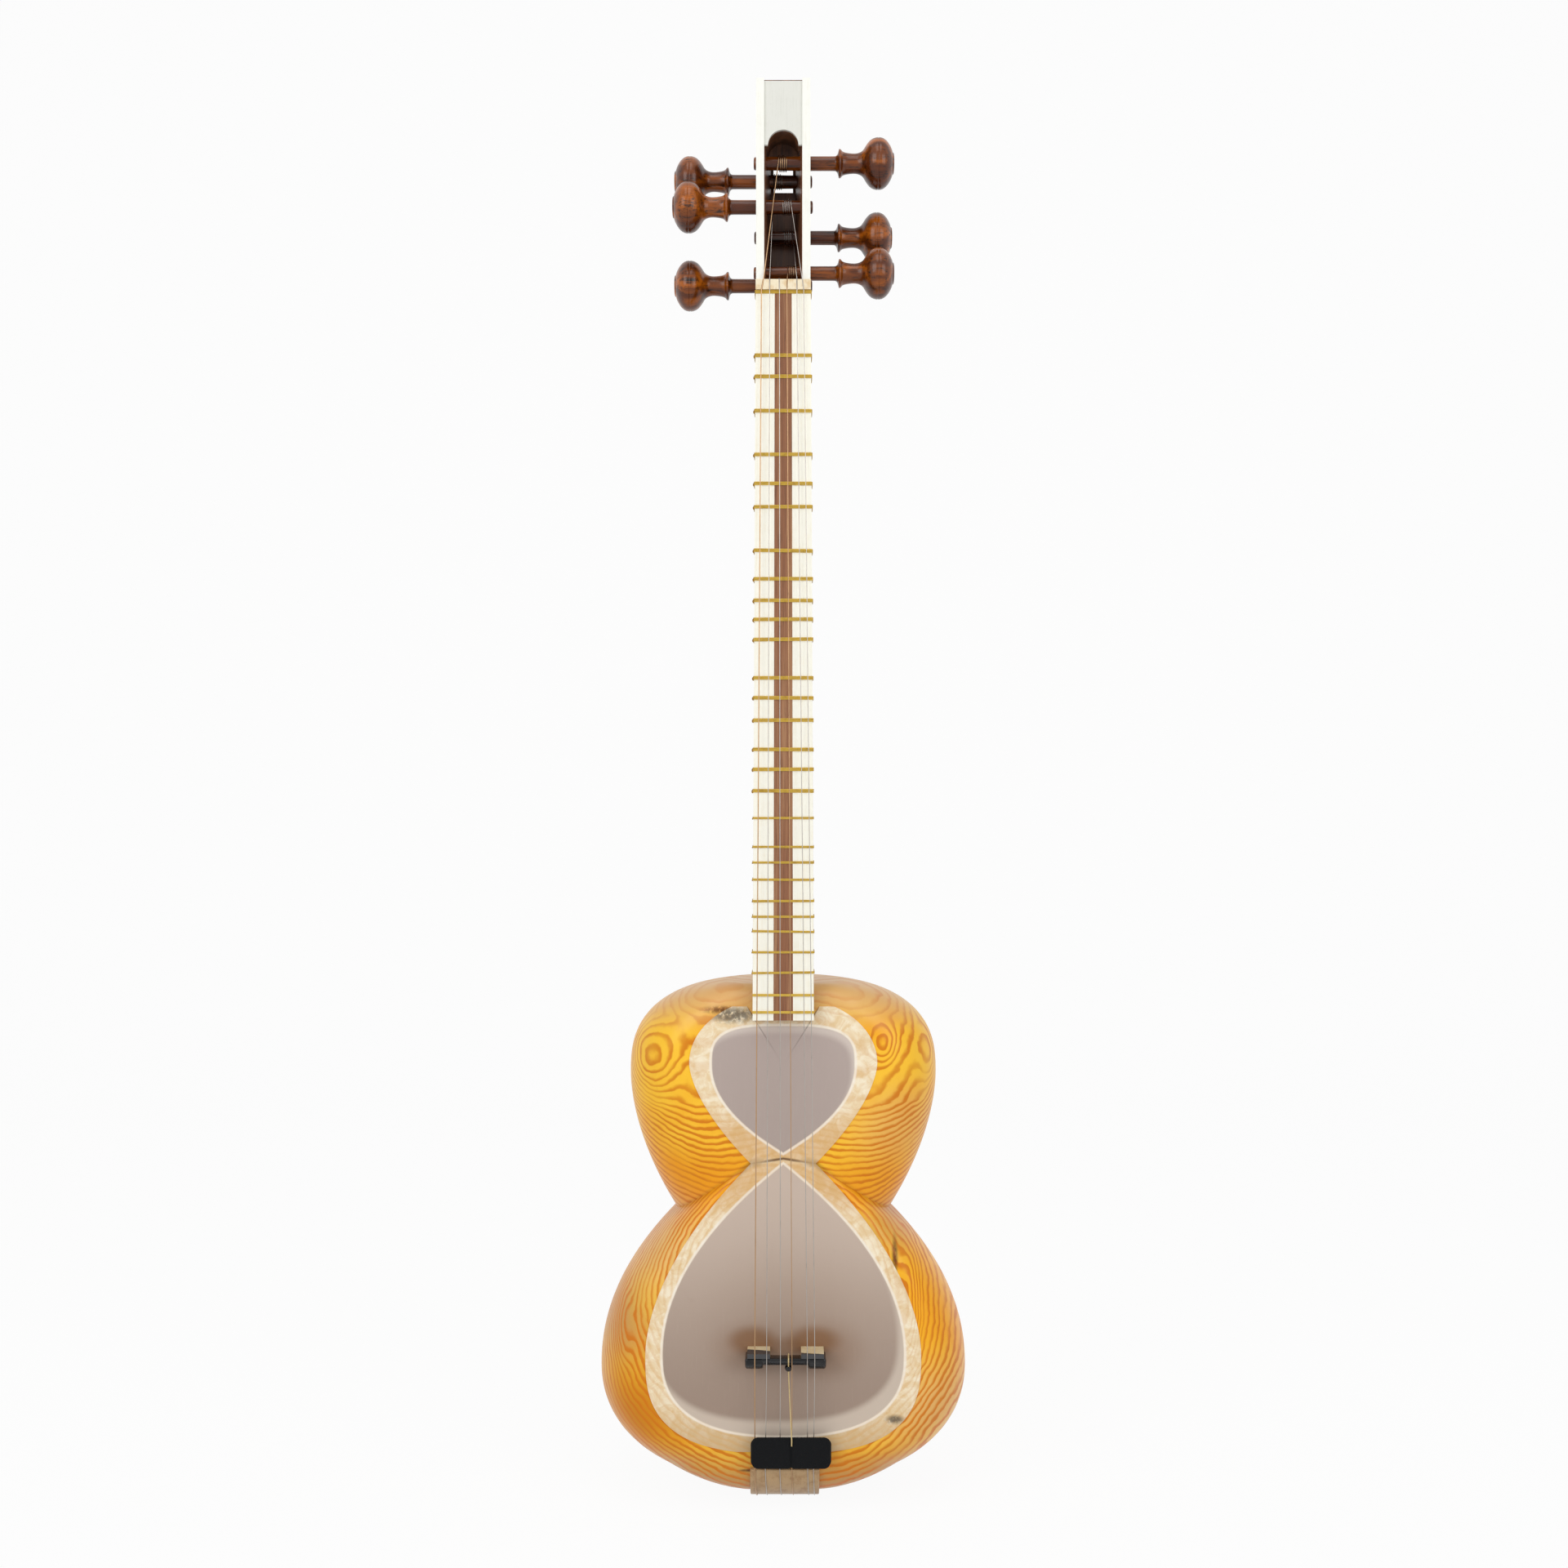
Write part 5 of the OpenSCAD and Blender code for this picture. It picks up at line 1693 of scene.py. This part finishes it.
    def build(self) -> None:
        """Makes the shaft and the frets."""
        piece("neck_shaft", self.shaft_mesh(), NECK_WOOD, "neck")
        paint("fingerboard_core", BOARD)
        paint("fingerboard_bone_left fingerboard_bone_right", BOARD_BONE)
        paint("glued_frets", GUT)
        tree = band_tree()
        leans = dict(self.leans)
        fixed: list[bpy.types.Mesh] = []
        moving = 0
        for i, cents in enumerate(self.cents):
            z = self.nut_z - self.scale * (1 - 2 ** (-cents / 1200))
            turns, r, knot = self.narrow_turns, self.thin_cord_r, self.narrow_knot
            if i <= self.last_wide:
                turns, r, knot = self.wide_turns, self.cord_r, self.wide_knot
            lean = leans.get(i, self.lean * (-1) ** i)
            mesh = self.band(tree, f"fret_{i + 1}", z, turns, r, knot, lean, i)
            if i in self.movable:
                moving += 1
                body = f"fret_{moving}_body"
                piece(f"gut_fret_{moving}", mesh, GUT, f"movable_fret_{moving}", body)
            else:
                fixed.append(mesh)
        piece("gut_frets", join_meshes("gut_frets", fixed), GUT, "tied_frets")
        tie_z = self.nut_z - self.tie_drop
        tie = self.band(tree, "nut_gut", tie_z, self.wide_turns, self.tie_r, 0.0, 0.0, self.tie_seed)
        piece("nut_gut", tie, GUT, "nut_tie")


def box_mesh(name: str, low: Sequence[float], high: Sequence[float]) -> bpy.types.Mesh:
    """Closed block between two corners, in millimetres.

    Args:
        name: The mesh's name.
        low: The lowest corner.
        high: The highest corner.

    Returns:
        The mesh.
    """
    (x0, y0, z0), (x1, y1, z1) = low, high
    points = [(x, y, z) for x in (x0, x1) for y in (y0, y1) for z in (z0, z1)]
    faces = [(0, 1, 3, 2), (4, 6, 7, 5), (0, 4, 5, 1), (2, 3, 7, 6), (0, 2, 6, 4), (1, 5, 7, 3)]
    return mesh_mm(name, points, faces)


# Pegs and strings


@dataclass
class Pegs:
    """Six turned pegs in two rows on each side, in millimetres, with the knob's profile along them."""

    sides: tuple[int, ...] = (-1, -1, -1, 1, 1, 1)
    depths: tuple[float, ...] = (31.0, 7.0, 31.0, 7.0, 31.0, 7.0)
    heights: tuple[float, ...] = (79.6, 55.6, 10.4, 84.1, 42.4, 12.4)
    half_box: float = 17.5
    tip_r: float = 4.1
    shaft_r: float = 4.6
    tip_out: float = 1.8
    tip_profile: tuple[tuple[float, float], ...] = ((0.0, 2.6), (0.25, 3.7), (0.8, 4.1))
    shaft_stops: tuple[float, ...] = (-12.0, -4.0, 4.0, 12.0)
    facets: int = 72
    profile: tuple[tuple[float, float], ...] = (
        (17.5, 4.6), (26.0, 4.62), (33.0, 4.65), (34.4, 4.9), (35.3, 5.8), (35.9, 7.6), (36.3, 9.05),
        (36.7, 9.2), (37.3, 9.1), (37.8, 8.6), (38.6, 7.7), (40.0, 7.1), (42.0, 6.7), (44.0, 6.45),
        (46.0, 6.35), (48.0, 6.5), (50.0, 7.1), (51.5, 8.0), (52.6, 9.3), (53.4, 10.6), (54.4, 12.1),
        (55.6, 13.6), (57.0, 14.9), (58.6, 15.8), (60.2, 16.3), (61.5, 16.45), (61.9, 16.2),
        (62.3, 16.45), (64.0, 16.25), (65.6, 15.6), (67.0, 14.6), (68.4, 13.1), (69.6, 11.3),
        (70.6, 9.3), (71.1, 7.9), (71.3, 7.1), (71.7, 6.9), (72.1, 6.2), (72.3, 4.6), (72.4, 2.2)
    )

    def mesh(self, tree: Tree, i: int) -> bpy.types.Mesh:
        """One peg in place.

        Args:
            tree: The lathe.
            i: Number of the peg, from nought.

        Returns:
            The mesh.
        """
        tip = -self.half_box - self.tip_out
        outline = [(tip + x, r) for x, r in self.tip_profile]
        for x in self.shaft_stops:
            outline.append((x, lerp(self.tip_r, self.shaft_r, (x - tip) / (self.half_box - tip))))
        outline += self.rounded()
        base = polyline(f"peg_{i + 1}_line", [(x, 0.0, 0.0) for x, _ in outline])
        kept = base.attributes.new("turned_radius", "FLOAT", "POINT")
        kept.data.foreach_set("value", [r * MM for _, r in outline])
        mesh = tree.grow(base, {"Sides": self.facets, "Material": PEG_WOOD.material()})
        place = Matrix.Translation((0, self.depths[i] * MM, self.heights[i] * MM))
        mesh.transform(place @ Matrix.Diagonal((self.sides[i], 1, 1, 1)))
        if self.sides[i] < 0:
            mesh.flip_normals()
        return mesh

    def rounded(self) -> list[tuple[float, float]]:
        """The profile with extra points along a smooth curve through it.

        Returns:
            The points, as place and radius.
        """
        points = [Vector(p) for p in self.profile]
        out: list[tuple[float, float]] = []
        for k in range(len(points) - 1):
            a, b = points[max(k - 1, 0)], points[k]
            c, d = points[k + 1], points[min(k + 2, len(points) - 1)]
            for t in (0.0, 0.5):
                bend, twist = 2 * a - 5 * b + 4 * c - d, 3 * b - a - 3 * c + d
                p = 0.5 * (2 * b + (c - a) * t + bend * t * t + twist * t**3)
                out.append((p.x, p.y))
        return [*out, self.profile[-1]]

    def build(self) -> None:
        """Makes the pegs."""
        tree = lathe_tree()
        for i in range(6):
            node = f"peg_{i + 1}"
            piece("turned_" + node, self.mesh(tree, i), PEG_WOOD, node, node + "_body")


@dataclass
class Strings:
    """Six strings from the tail to their windings on the pegs, in millimetres.

    The hook angles run round a pin, and wrap is the angle up to which a string follows the lower end.
    """

    pegs: Pegs
    diameters: tuple[float, ...] = (0.7, 0.5, 0.5, 0.5, 0.5, 0.5)
    nut_x: tuple[float, ...] = (-14.0, -8.7, -2.4, 2.4, 8.8, 13.2)
    exit_x: tuple[float, ...] = (-12.6, -8.7, -2.6, 2.6, 8.8, 12.2)
    bridge_x: tuple[float, ...] = (-18.2, -10.6, -1.8, 5.6, 15.4, 20.2)
    tail_x: tuple[float, ...] = (-18.4, -11.6, -2.2, 5.6, 15.8, 19.6)
    peg_of: tuple[int, ...] = (3, 0, 2, 5, 4, 1)
    wind_x: tuple[float, ...] = (-3.0, -6.0, -3.0, 3.0, 6.0, 5.0)
    wind_step: tuple[int, ...] = (1, 1, 1, 1, -1, -1)
    over: tuple[int, ...] = (1, 1, -1, 1, 1, 1)
    metals: tuple[Course, ...] = (
        Course.BRASS, Course.STEEL, Course.STEEL, Course.BRASS, Course.STEEL, Course.STEEL
    )
    turns: int = 4
    turn_steps: int = 36
    pitch: float = 1.3
    groove_y: float = -11.6
    bridge_y: float = -17.6
    bridge_z: tuple[float, float] = (BEND_Z, -684.5)
    nut_low: float = -2.6
    nut_high: float = 3.9
    exit_past: float = 0.15
    contact: float = 0.05
    stop: float = 0.3
    turning_gap: float = 0.15
    wind_clear: float = 0.1
    tail_out: float = 3.05
    tail_clear: float = 0.06
    wrap: int = 72
    pin_y: float = 42.0
    pin_r: float = 1.0
    pin_clear: float = 0.15
    pin_rise: float = 0.1
    hook_angles: tuple[int, ...] = tuple(range(200, -91, -29))
    facets: int = 10

    def nut_y(self, i: int) -> float:
        """Depth of a string's middle at the nut."""
        return self.groove_y - self.diameters[i] / 2 - self.contact

    def exit_point(self, i: int) -> Vector:
        """Where a string bends past the nut."""
        return Vector((self.exit_x[i], self.nut_y(i), self.nut_high + self.exit_past))

    def wind_r(self, i: int) -> float:
        """Radius of a winding's middle line."""
        return self.pegs.shaft_r + self.diameters[i] / 2 + self.wind_clear

    def touch(self, i: int) -> tuple[float, float, float, float]:
        """Where a string meets its peg.

        Args:
            i: Number of the string.

        Returns:
            The peg's depth and height, and those of the touching point.
        """
        cy, cz = self.pegs.depths[self.peg_of[i]], self.pegs.heights[self.peg_of[i]]
        dy, dz = cy - self.nut_y(i), cz - self.nut_high - self.exit_past
        r = self.wind_r(i)
        angle = math.atan2(dz, dy) + math.pi - self.over[i] * math.acos(r / math.hypot(dy, dz))
        return cy, cz, cy + r * math.cos(angle), cz + r * math.sin(angle)

    def lead(self, i: int) -> tuple[Vector, Vector]:
        """Touching point and the way the string runs into it.

        Args:
            i: Number of the string.

        Returns:
            The point and the way.
        """
        _, _, ty, tz = self.touch(i)
        end = Vector((self.wind_x[i], ty, tz))
        return end, (end - self.exit_point(i)).normalized()

    def stop_length(self, i: int) -> float:
        """Length from the touching point back to the string's end."""
        r = self.wind_r(i)
        return math.sqrt((r + self.diameters[i] + self.turning_gap) ** 2 - r**2)

    @staticmethod
    def tail_point(angle: float, out: float) -> tuple[float, float]:
        """Depth and height of the lower end's profile, at an angle in degrees and a distance out."""
        a = math.radians(angle)
        return END_Y - (END_R[0] + out) * math.sin(a), END_Z - (END_R[1] + out) * math.cos(a)

    def route(self, i: int) -> list[Point]:
        """Path of a string from its pin over the bridge and the nut to its peg.

        Args:
            i: Number of the string.

        Returns:
            Its points in millimetres.
        """
        r = self.diameters[i] / 2
        low = self.tail_point(0, self.tail_out)[1] - r - self.contact - self.pin_rise
        x, hook = self.tail_x[i], self.pin_r + r + self.pin_clear
        path: list[Point] = []
        for a in map(math.radians, self.hook_angles):
            path.append((x - hook * math.sin(a), self.pin_y + hook * math.cos(a), low))
        path.append((x + hook, self.pin_y - 2, low))
        for a in range(0, self.wrap + 1, 6):
            y, z = self.tail_point(a, self.tail_out + r + self.contact + self.tail_clear)
            path.append((x + hook * (self.wrap - a) / self.wrap, y, z))
        path += [(self.bridge_x[i], self.bridge_y - r - self.contact, z) for z in self.bridge_z]
        path.append((self.nut_x[i], self.nut_y(i) - 0.02, self.nut_low - 0.5))
        end, way = self.lead(i)
        return [*path, tuple(self.exit_point(i)), tuple(end - way * self.stop_length(i))]

    def winding(self, i: int) -> list[Point]:
        """Path of the turns on a peg.

        Args:
            i: Number of the string.

        Returns:
            Its points in millimetres.
        """
        cy, cz, ty, tz = self.touch(i)
        start, r = math.atan2(tz - cz, ty - cy), self.wind_r(i)
        path: list[Vector] = []
        for k in range(self.turns * self.turn_steps + 1):
            u = k / self.turn_steps
            a = start - self.over[i] * 2 * math.pi * u
            x = self.wind_x[i] + self.wind_step[i] * self.pitch * u
            path.append(Vector((x, cy + r * math.cos(a), cz + r * math.sin(a))))
        _, way = self.lead(i)
        first = path[0] - way * (self.stop_length(i) - self.stop)
        last = path[-1] + (path[-1] - path[-2]).normalized() * self.diameters[i]
        return [tuple(p) for p in (first, *path, last)]

    def build(self, tree: Tree) -> None:
        """Makes the strings and their windings.

        Args:
            tree: The tree that sweeps a wire.
        """
        for i, metal in enumerate(self.metals):
            finish = BRASS if metal is Course.BRASS else STEEL
            radius = self.diameters[i] / 2 * MM
            values = {"Radius": radius, "Sides": self.facets, "Material": finish.material()}
            name = f"wire_{i + 1}"
            mesh = tree.grow(polyline(name, self.route(i)), values)
            piece(name, mesh, finish, f"string_{i + 1}")
            mesh = tree.grow(polyline(name + "_turns", self.winding(i)), values)
            body = f"peg_{self.peg_of[i] + 1}_body"
            piece(name + "_turns", mesh, finish, f"winding_{i + 1}", body)


# Bridge, pad and tailpiece


@dataclass
class Fittings:
    """Bridge, hand pad and tailpiece, in millimetres, and the finishes of the head."""

    x: float = 1.5
    half: float = 26.0
    top_y: float = -17.6
    horn_z: float = -688.5
    horn_t: float = 5.0
    lobe_w: float = 11.6
    lobe_reach: float = 9.0
    lobe_round: float = 3.2
    lobe_steps: int = 7
    bar_round: float = 0.5
    pad_x: float = 5.0
    pad_z: float = TOP - 290.449
    pad_slope: float = 0.2175
    pad_y: float = -17.9
    pad_seat: float = 0.65
    pad_size: tuple[float, float, float] = (52.0, 4.5, 21.6)
    pad_corner: float = 5.0
    pad_edge: float = 1.5
    pad_side: float = 1.6
    crease_w: float = 0.9
    crease_deep: float = 0.9
    notch: float = 1.3
    tail_x: float = 1.0
    tail_w: float = 45.0
    tail_t: float = 3.0
    tail_gap: float = 0.05
    tail_end_y: float = 47.0
    tail_round: float = 0.6

    def horn_mesh(self) -> bpy.types.Mesh:
        """The horn bar with its two feet, rounded.

        Returns:
            The mesh.
        """
        z, y = self.horn_z, self.top_y
        toe = z - self.lobe_reach
        foot = [
            (-0.5, z), (y, z), (y, z - 1.8), (y + 1.4, z - self.horn_t),
            (y + 4.0, z - 7.4), (y + 7.5, toe + 0.3), (y + 12.0, toe + 0.2), (-0.5, toe + 0.9)
        ]
        meshes = []
        for m in (-1, 1):
            a = self.x + m * (self.half - self.lobe_w / 2)
            raw = extruded("foot", foot, a - self.lobe_w / 2, a + self.lobe_w / 2)
            meshes.append(finished(raw, self.lobe_round, self.lobe_steps))
        bar = [(-9.0, z), (y, z), (y, z - 1.5), (y + 3.0, z - self.horn_t), (-9.0, z - self.horn_t)]
        half = self.half - self.lobe_w + 1
        meshes.append(finished(extruded("bar", bar, self.x - half, self.x + half), self.bar_round))
        mesh = join_meshes("horn_bridge", meshes)
        smooth(mesh, 40)
        return mesh

    def pad_point(self, u: float, v: float, front: bool) -> Point:
        """Point of the pad, about its middle.

        Args:
            u: Place across it, -1 to 1.
            v: Place along it, -1 to 1.
            front: Whether it lies on the crowned front.

        Returns:
            The point in millimetres.
        """
        w, t, length = self.pad_size
        corner, x, z = self.pad_corner, u * w / 2, v * length / 2
        dx, dz = abs(x) - (w / 2 - corner), abs(z) - (length / 2 - corner)
        if dx > 0 and dz > 0:
            pull = max(dx, dz) / math.hypot(dx, dz)
            x = math.copysign(w / 2 - corner + dx * pull, x)
            z = math.copysign(length / 2 - corner + dz * pull, z)
        share = min((corner - max(dx, dz)) / self.pad_edge, 1.0)
        round_off = math.sqrt(max(1 - (1 - share) ** 2, 0.0))
        if not front:
            return x, -self.pad_side * (1 - round_off), z
        crease = math.exp(-((x / self.crease_w) ** 2))
        z += crease * self.notch * max(-v, 0.0) ** 12
        crown = 0.92 + 0.08 * math.cos(u * math.pi / 2) * math.cos(v * math.pi / 2)
        rise = t * crown - self.pad_side - crease * self.crease_deep
        return x, -self.pad_side - rise * round_off, z

    def pad_mesh(self) -> bpy.types.Mesh:
        """The pad: rounded corners and edges, a slight crown and an upright crease.

        Returns:
            The mesh in place.
        """
        _, _, length = self.pad_size
        us = sorted([*np.linspace(-1.0, 1.0, 81), *np.linspace(-0.06, 0.06, 12)])
        vs = list(np.sin(np.linspace(-math.pi / 2, math.pi / 2, 45)))
        n, layer = len(us), len(us) * len(vs)
        points = [self.pad_point(u, v, front) for front in (False, True) for v in vs for u in us]
        faces: list[tuple[int, ...]] = []
        for i in range(len(vs) - 1):
            for a in range(i * n, i * n + n - 1):
                b = layer + a
                faces += [(a, a + 1, a + n + 1, a + n), (b, b + n, b + n + 1, b + 1)]
        mesh = mesh_mm("felt_pad", points, faces, 80.0)
        lift = self.pad_y + self.pad_slope * (BEND_Z - self.pad_z) - self.pad_seat
        turn = Matrix.Rotation(math.atan(self.pad_slope), 4, "X")
        place = Matrix.Translation(Vector((self.pad_x, lift, self.pad_z)) * MM)
        mesh.transform(place @ turn @ Matrix.Translation((0, 0, -length / 2 * MM)))
        smooth(mesh, 80)
        return mesh

    def tail_mesh(self) -> bpy.types.Mesh:
        """The tailpiece bent round the lower end.

        Returns:
            The mesh.
        """
        angles = range(0, 75, 3)
        under = [Strings.tail_point(a, self.tail_gap) for a in angles]
        over = [Strings.tail_point(a, self.tail_gap + self.tail_t) for a in reversed(angles)]
        low = under[0][1]
        side = [(self.tail_end_y, low - self.tail_t), (self.tail_end_y, low), *under, *over]
        half = self.tail_w / 2
        return finished(extruded("bent_tail", side, self.tail_x - half, self.tail_x + half), self.tail_round)

    def build(self) -> None:
        """Makes the fittings and paints what keeps its solid."""
        piece("horn_bridge", self.horn_mesh(), HORN, "bridge_horn")
        pad = piece("felt_pad", self.pad_mesh(), FELT, "hand_pad")
        piece("bent_tail", self.tail_mesh(), TAIL_BONE, "tailpiece")
        for nodes, finish in (
            ("bridge_bone", LEG_BONE),
            ("bridge_bead", HORN),
            ("tail_pins", BRASS),
            ("nut", NUT_BONE),
            ("pegbox", WALNUT),
            ("pegbox_edge_left pegbox_edge_right", RAIL_BONE),
            ("head_panel", PANEL_BONE),
            ("bridge_tie", TIE_GUT),
        ):
            paint(nodes, finish)


def extruded(name: str, side: Sequence[tuple[float, float]], x0: float, x1: float) -> bpy.types.Mesh:
    """Prism of a side view in Y and Z, between two places in X.

    Args:
        name: The mesh's name.
        side: Corners of the side view, in millimetres.
        x0: Where it starts.
        x1: Where it ends.

    Returns:
        The mesh.
    """
    n = len(side)
    points = [(x, y, z) for x in (x0, x1) for y, z in side]
    faces = [tuple(range(n)), tuple(range(n, 2 * n))]
    faces += [(j, (j + 1) % n, n + (j + 1) % n, n + j) for j in range(n)]
    return mesh_mm(name, points, faces)


# Studio


@dataclass
class Studio:
    """Camera, lamps, floor and backdrop.

    The camera's sizes and the floor's height are in millimetres, the backdrop and the lamps in metres.
    """

    aim: Point = (0.5, 0.0, -320.7)
    distance: float = 1250.0
    frame_mm: float = 1017.6
    floor_z: float = -797.0
    half_wide: float = 5.0
    front: float = 4.0
    back: float = 2.2
    high: float = 4.0
    bend: float = 0.6
    white: float = 0.94
    fill: float = 0.43
    lit: Point = (0.0, 0.05, -0.4)
    lamps: tuple[tuple[str, Point, float, float], ...] = (
        ("left_soft", (-1.5, -1.7, 0.5), 1.4, 18.5),
        ("right_soft", (1.6, -1.6, 0.3), 1.4, 15.0),
        ("top_soft", (0.0, -0.9, 1.6), 1.2, 9.0),
    )

    def camera(self) -> None:
        """Camera straight in front, level with the middle of the lute."""
        data = bpy.data.cameras.new("camera")
        data.sensor_width = 36.0
        data.lens = 36.0 * self.distance / self.frame_mm
        data.clip_end = 50.0
        made = placed("camera", data)
        made.location = Vector((self.aim[0], -self.distance, self.aim[2])) * MM
        made.rotation_euler = (math.pi / 2, 0, 0)
        bpy.context.scene.camera = made

    def lamp(self, name: str, place: Point, size: float, power: float) -> None:
        """Soft square lamp that faces the lute's body.

        Args:
            name: The lamp's name.
            place: Where it stands, in metres.
            size: Its side, in metres.
            power: Its power, in watts.
        """
        data = bpy.data.lights.new(name, "AREA")
        data.size = size
        data.energy = power
        made = placed(name, data)
        made.location = place
        way = Vector(self.lit) - Vector(place)
        made.rotation_euler = way.to_track_quat("-Z", "Y").to_euler()

    def backdrop_material(self) -> bpy.types.Material:
        """Pale matte surface that the camera sees as nearly white, with the lute's soft shadow.

        Returns:
            The material.
        """
        made = bpy.data.materials.new("paper")
        made.use_nodes = True
        bench = Bench(made.node_tree)
        seen = bench.seen()
        matte = bench.node("ShaderNodeBsdfDiffuse", values={"Color": (0.86, 0.86, 0.86)})
        glow = bench.node("ShaderNodeEmission", values={"Color": (1.0, 1.0, 1.0), "Strength": 1.0})
        both = bench.node("ShaderNodeMixShader", values={0: seen * self.white, 1: matte, 2: glow})
        bench.node("ShaderNodeOutputMaterial", values={"Surface": both})
        return made

    def backdrop(self) -> None:
        """Floor that bends up into a wall behind the lute."""
        low, wide = self.floor_z * MM, self.half_wide
        line = [(-self.front, low)]
        for a in np.linspace(0, math.pi / 2, 10):
            depth = self.back - self.bend + self.bend * math.sin(a)
            line.append((depth, low + self.bend - self.bend * math.cos(a)))
        line.append((self.back, self.high))
        points = [(x, y, z) for y, z in line for x in (-wide, wide)]
        faces = [(2 * k, 2 * k + 1, 2 * k + 3, 2 * k + 2) for k in range(len(line) - 1)]
        mesh = bpy.data.meshes.new("paper")
        mesh.from_pydata(points, [], faces)
        mesh.polygons.foreach_set("use_smooth", [True] * len(faces))
        mesh.materials.append(self.backdrop_material())
        placed("paper", mesh)

    def build(self) -> None:
        """Makes the floor, the backdrop, the lamps and the world."""
        self.backdrop()
        for name, place, size, power in self.lamps:
            self.lamp(name, place, size, power)
        world = bpy.data.worlds.new("room")
        bpy.context.scene.world = world
        world.use_nodes = True
        bench = Bench(world.node_tree)
        strength = bench.seen() * (1 - self.fill) + self.fill
        glow = bench.node("ShaderNodeBackground", values={"Color": (1.0, 1.0, 1.0), "Strength": strength})
        bench.node("ShaderNodeOutputWorld", values={"Surface": glow})
        bpy.context.scene.view_settings.view_transform = "Standard"


def main() -> None:
    """Builds the studio and the lute's pieces in order."""
    logging.basicConfig(level=logging.INFO, format="%(name)s: %(message)s")
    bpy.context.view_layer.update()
    studio = Studio()
    studio.camera()
    studio.build()
    CarvedBody().build()
    Neck().build()
    pegs = Pegs()
    pegs.build()
    Strings(pegs).build(wire_tree())
    Fittings().build()


if __name__ == "__main__":
    main()
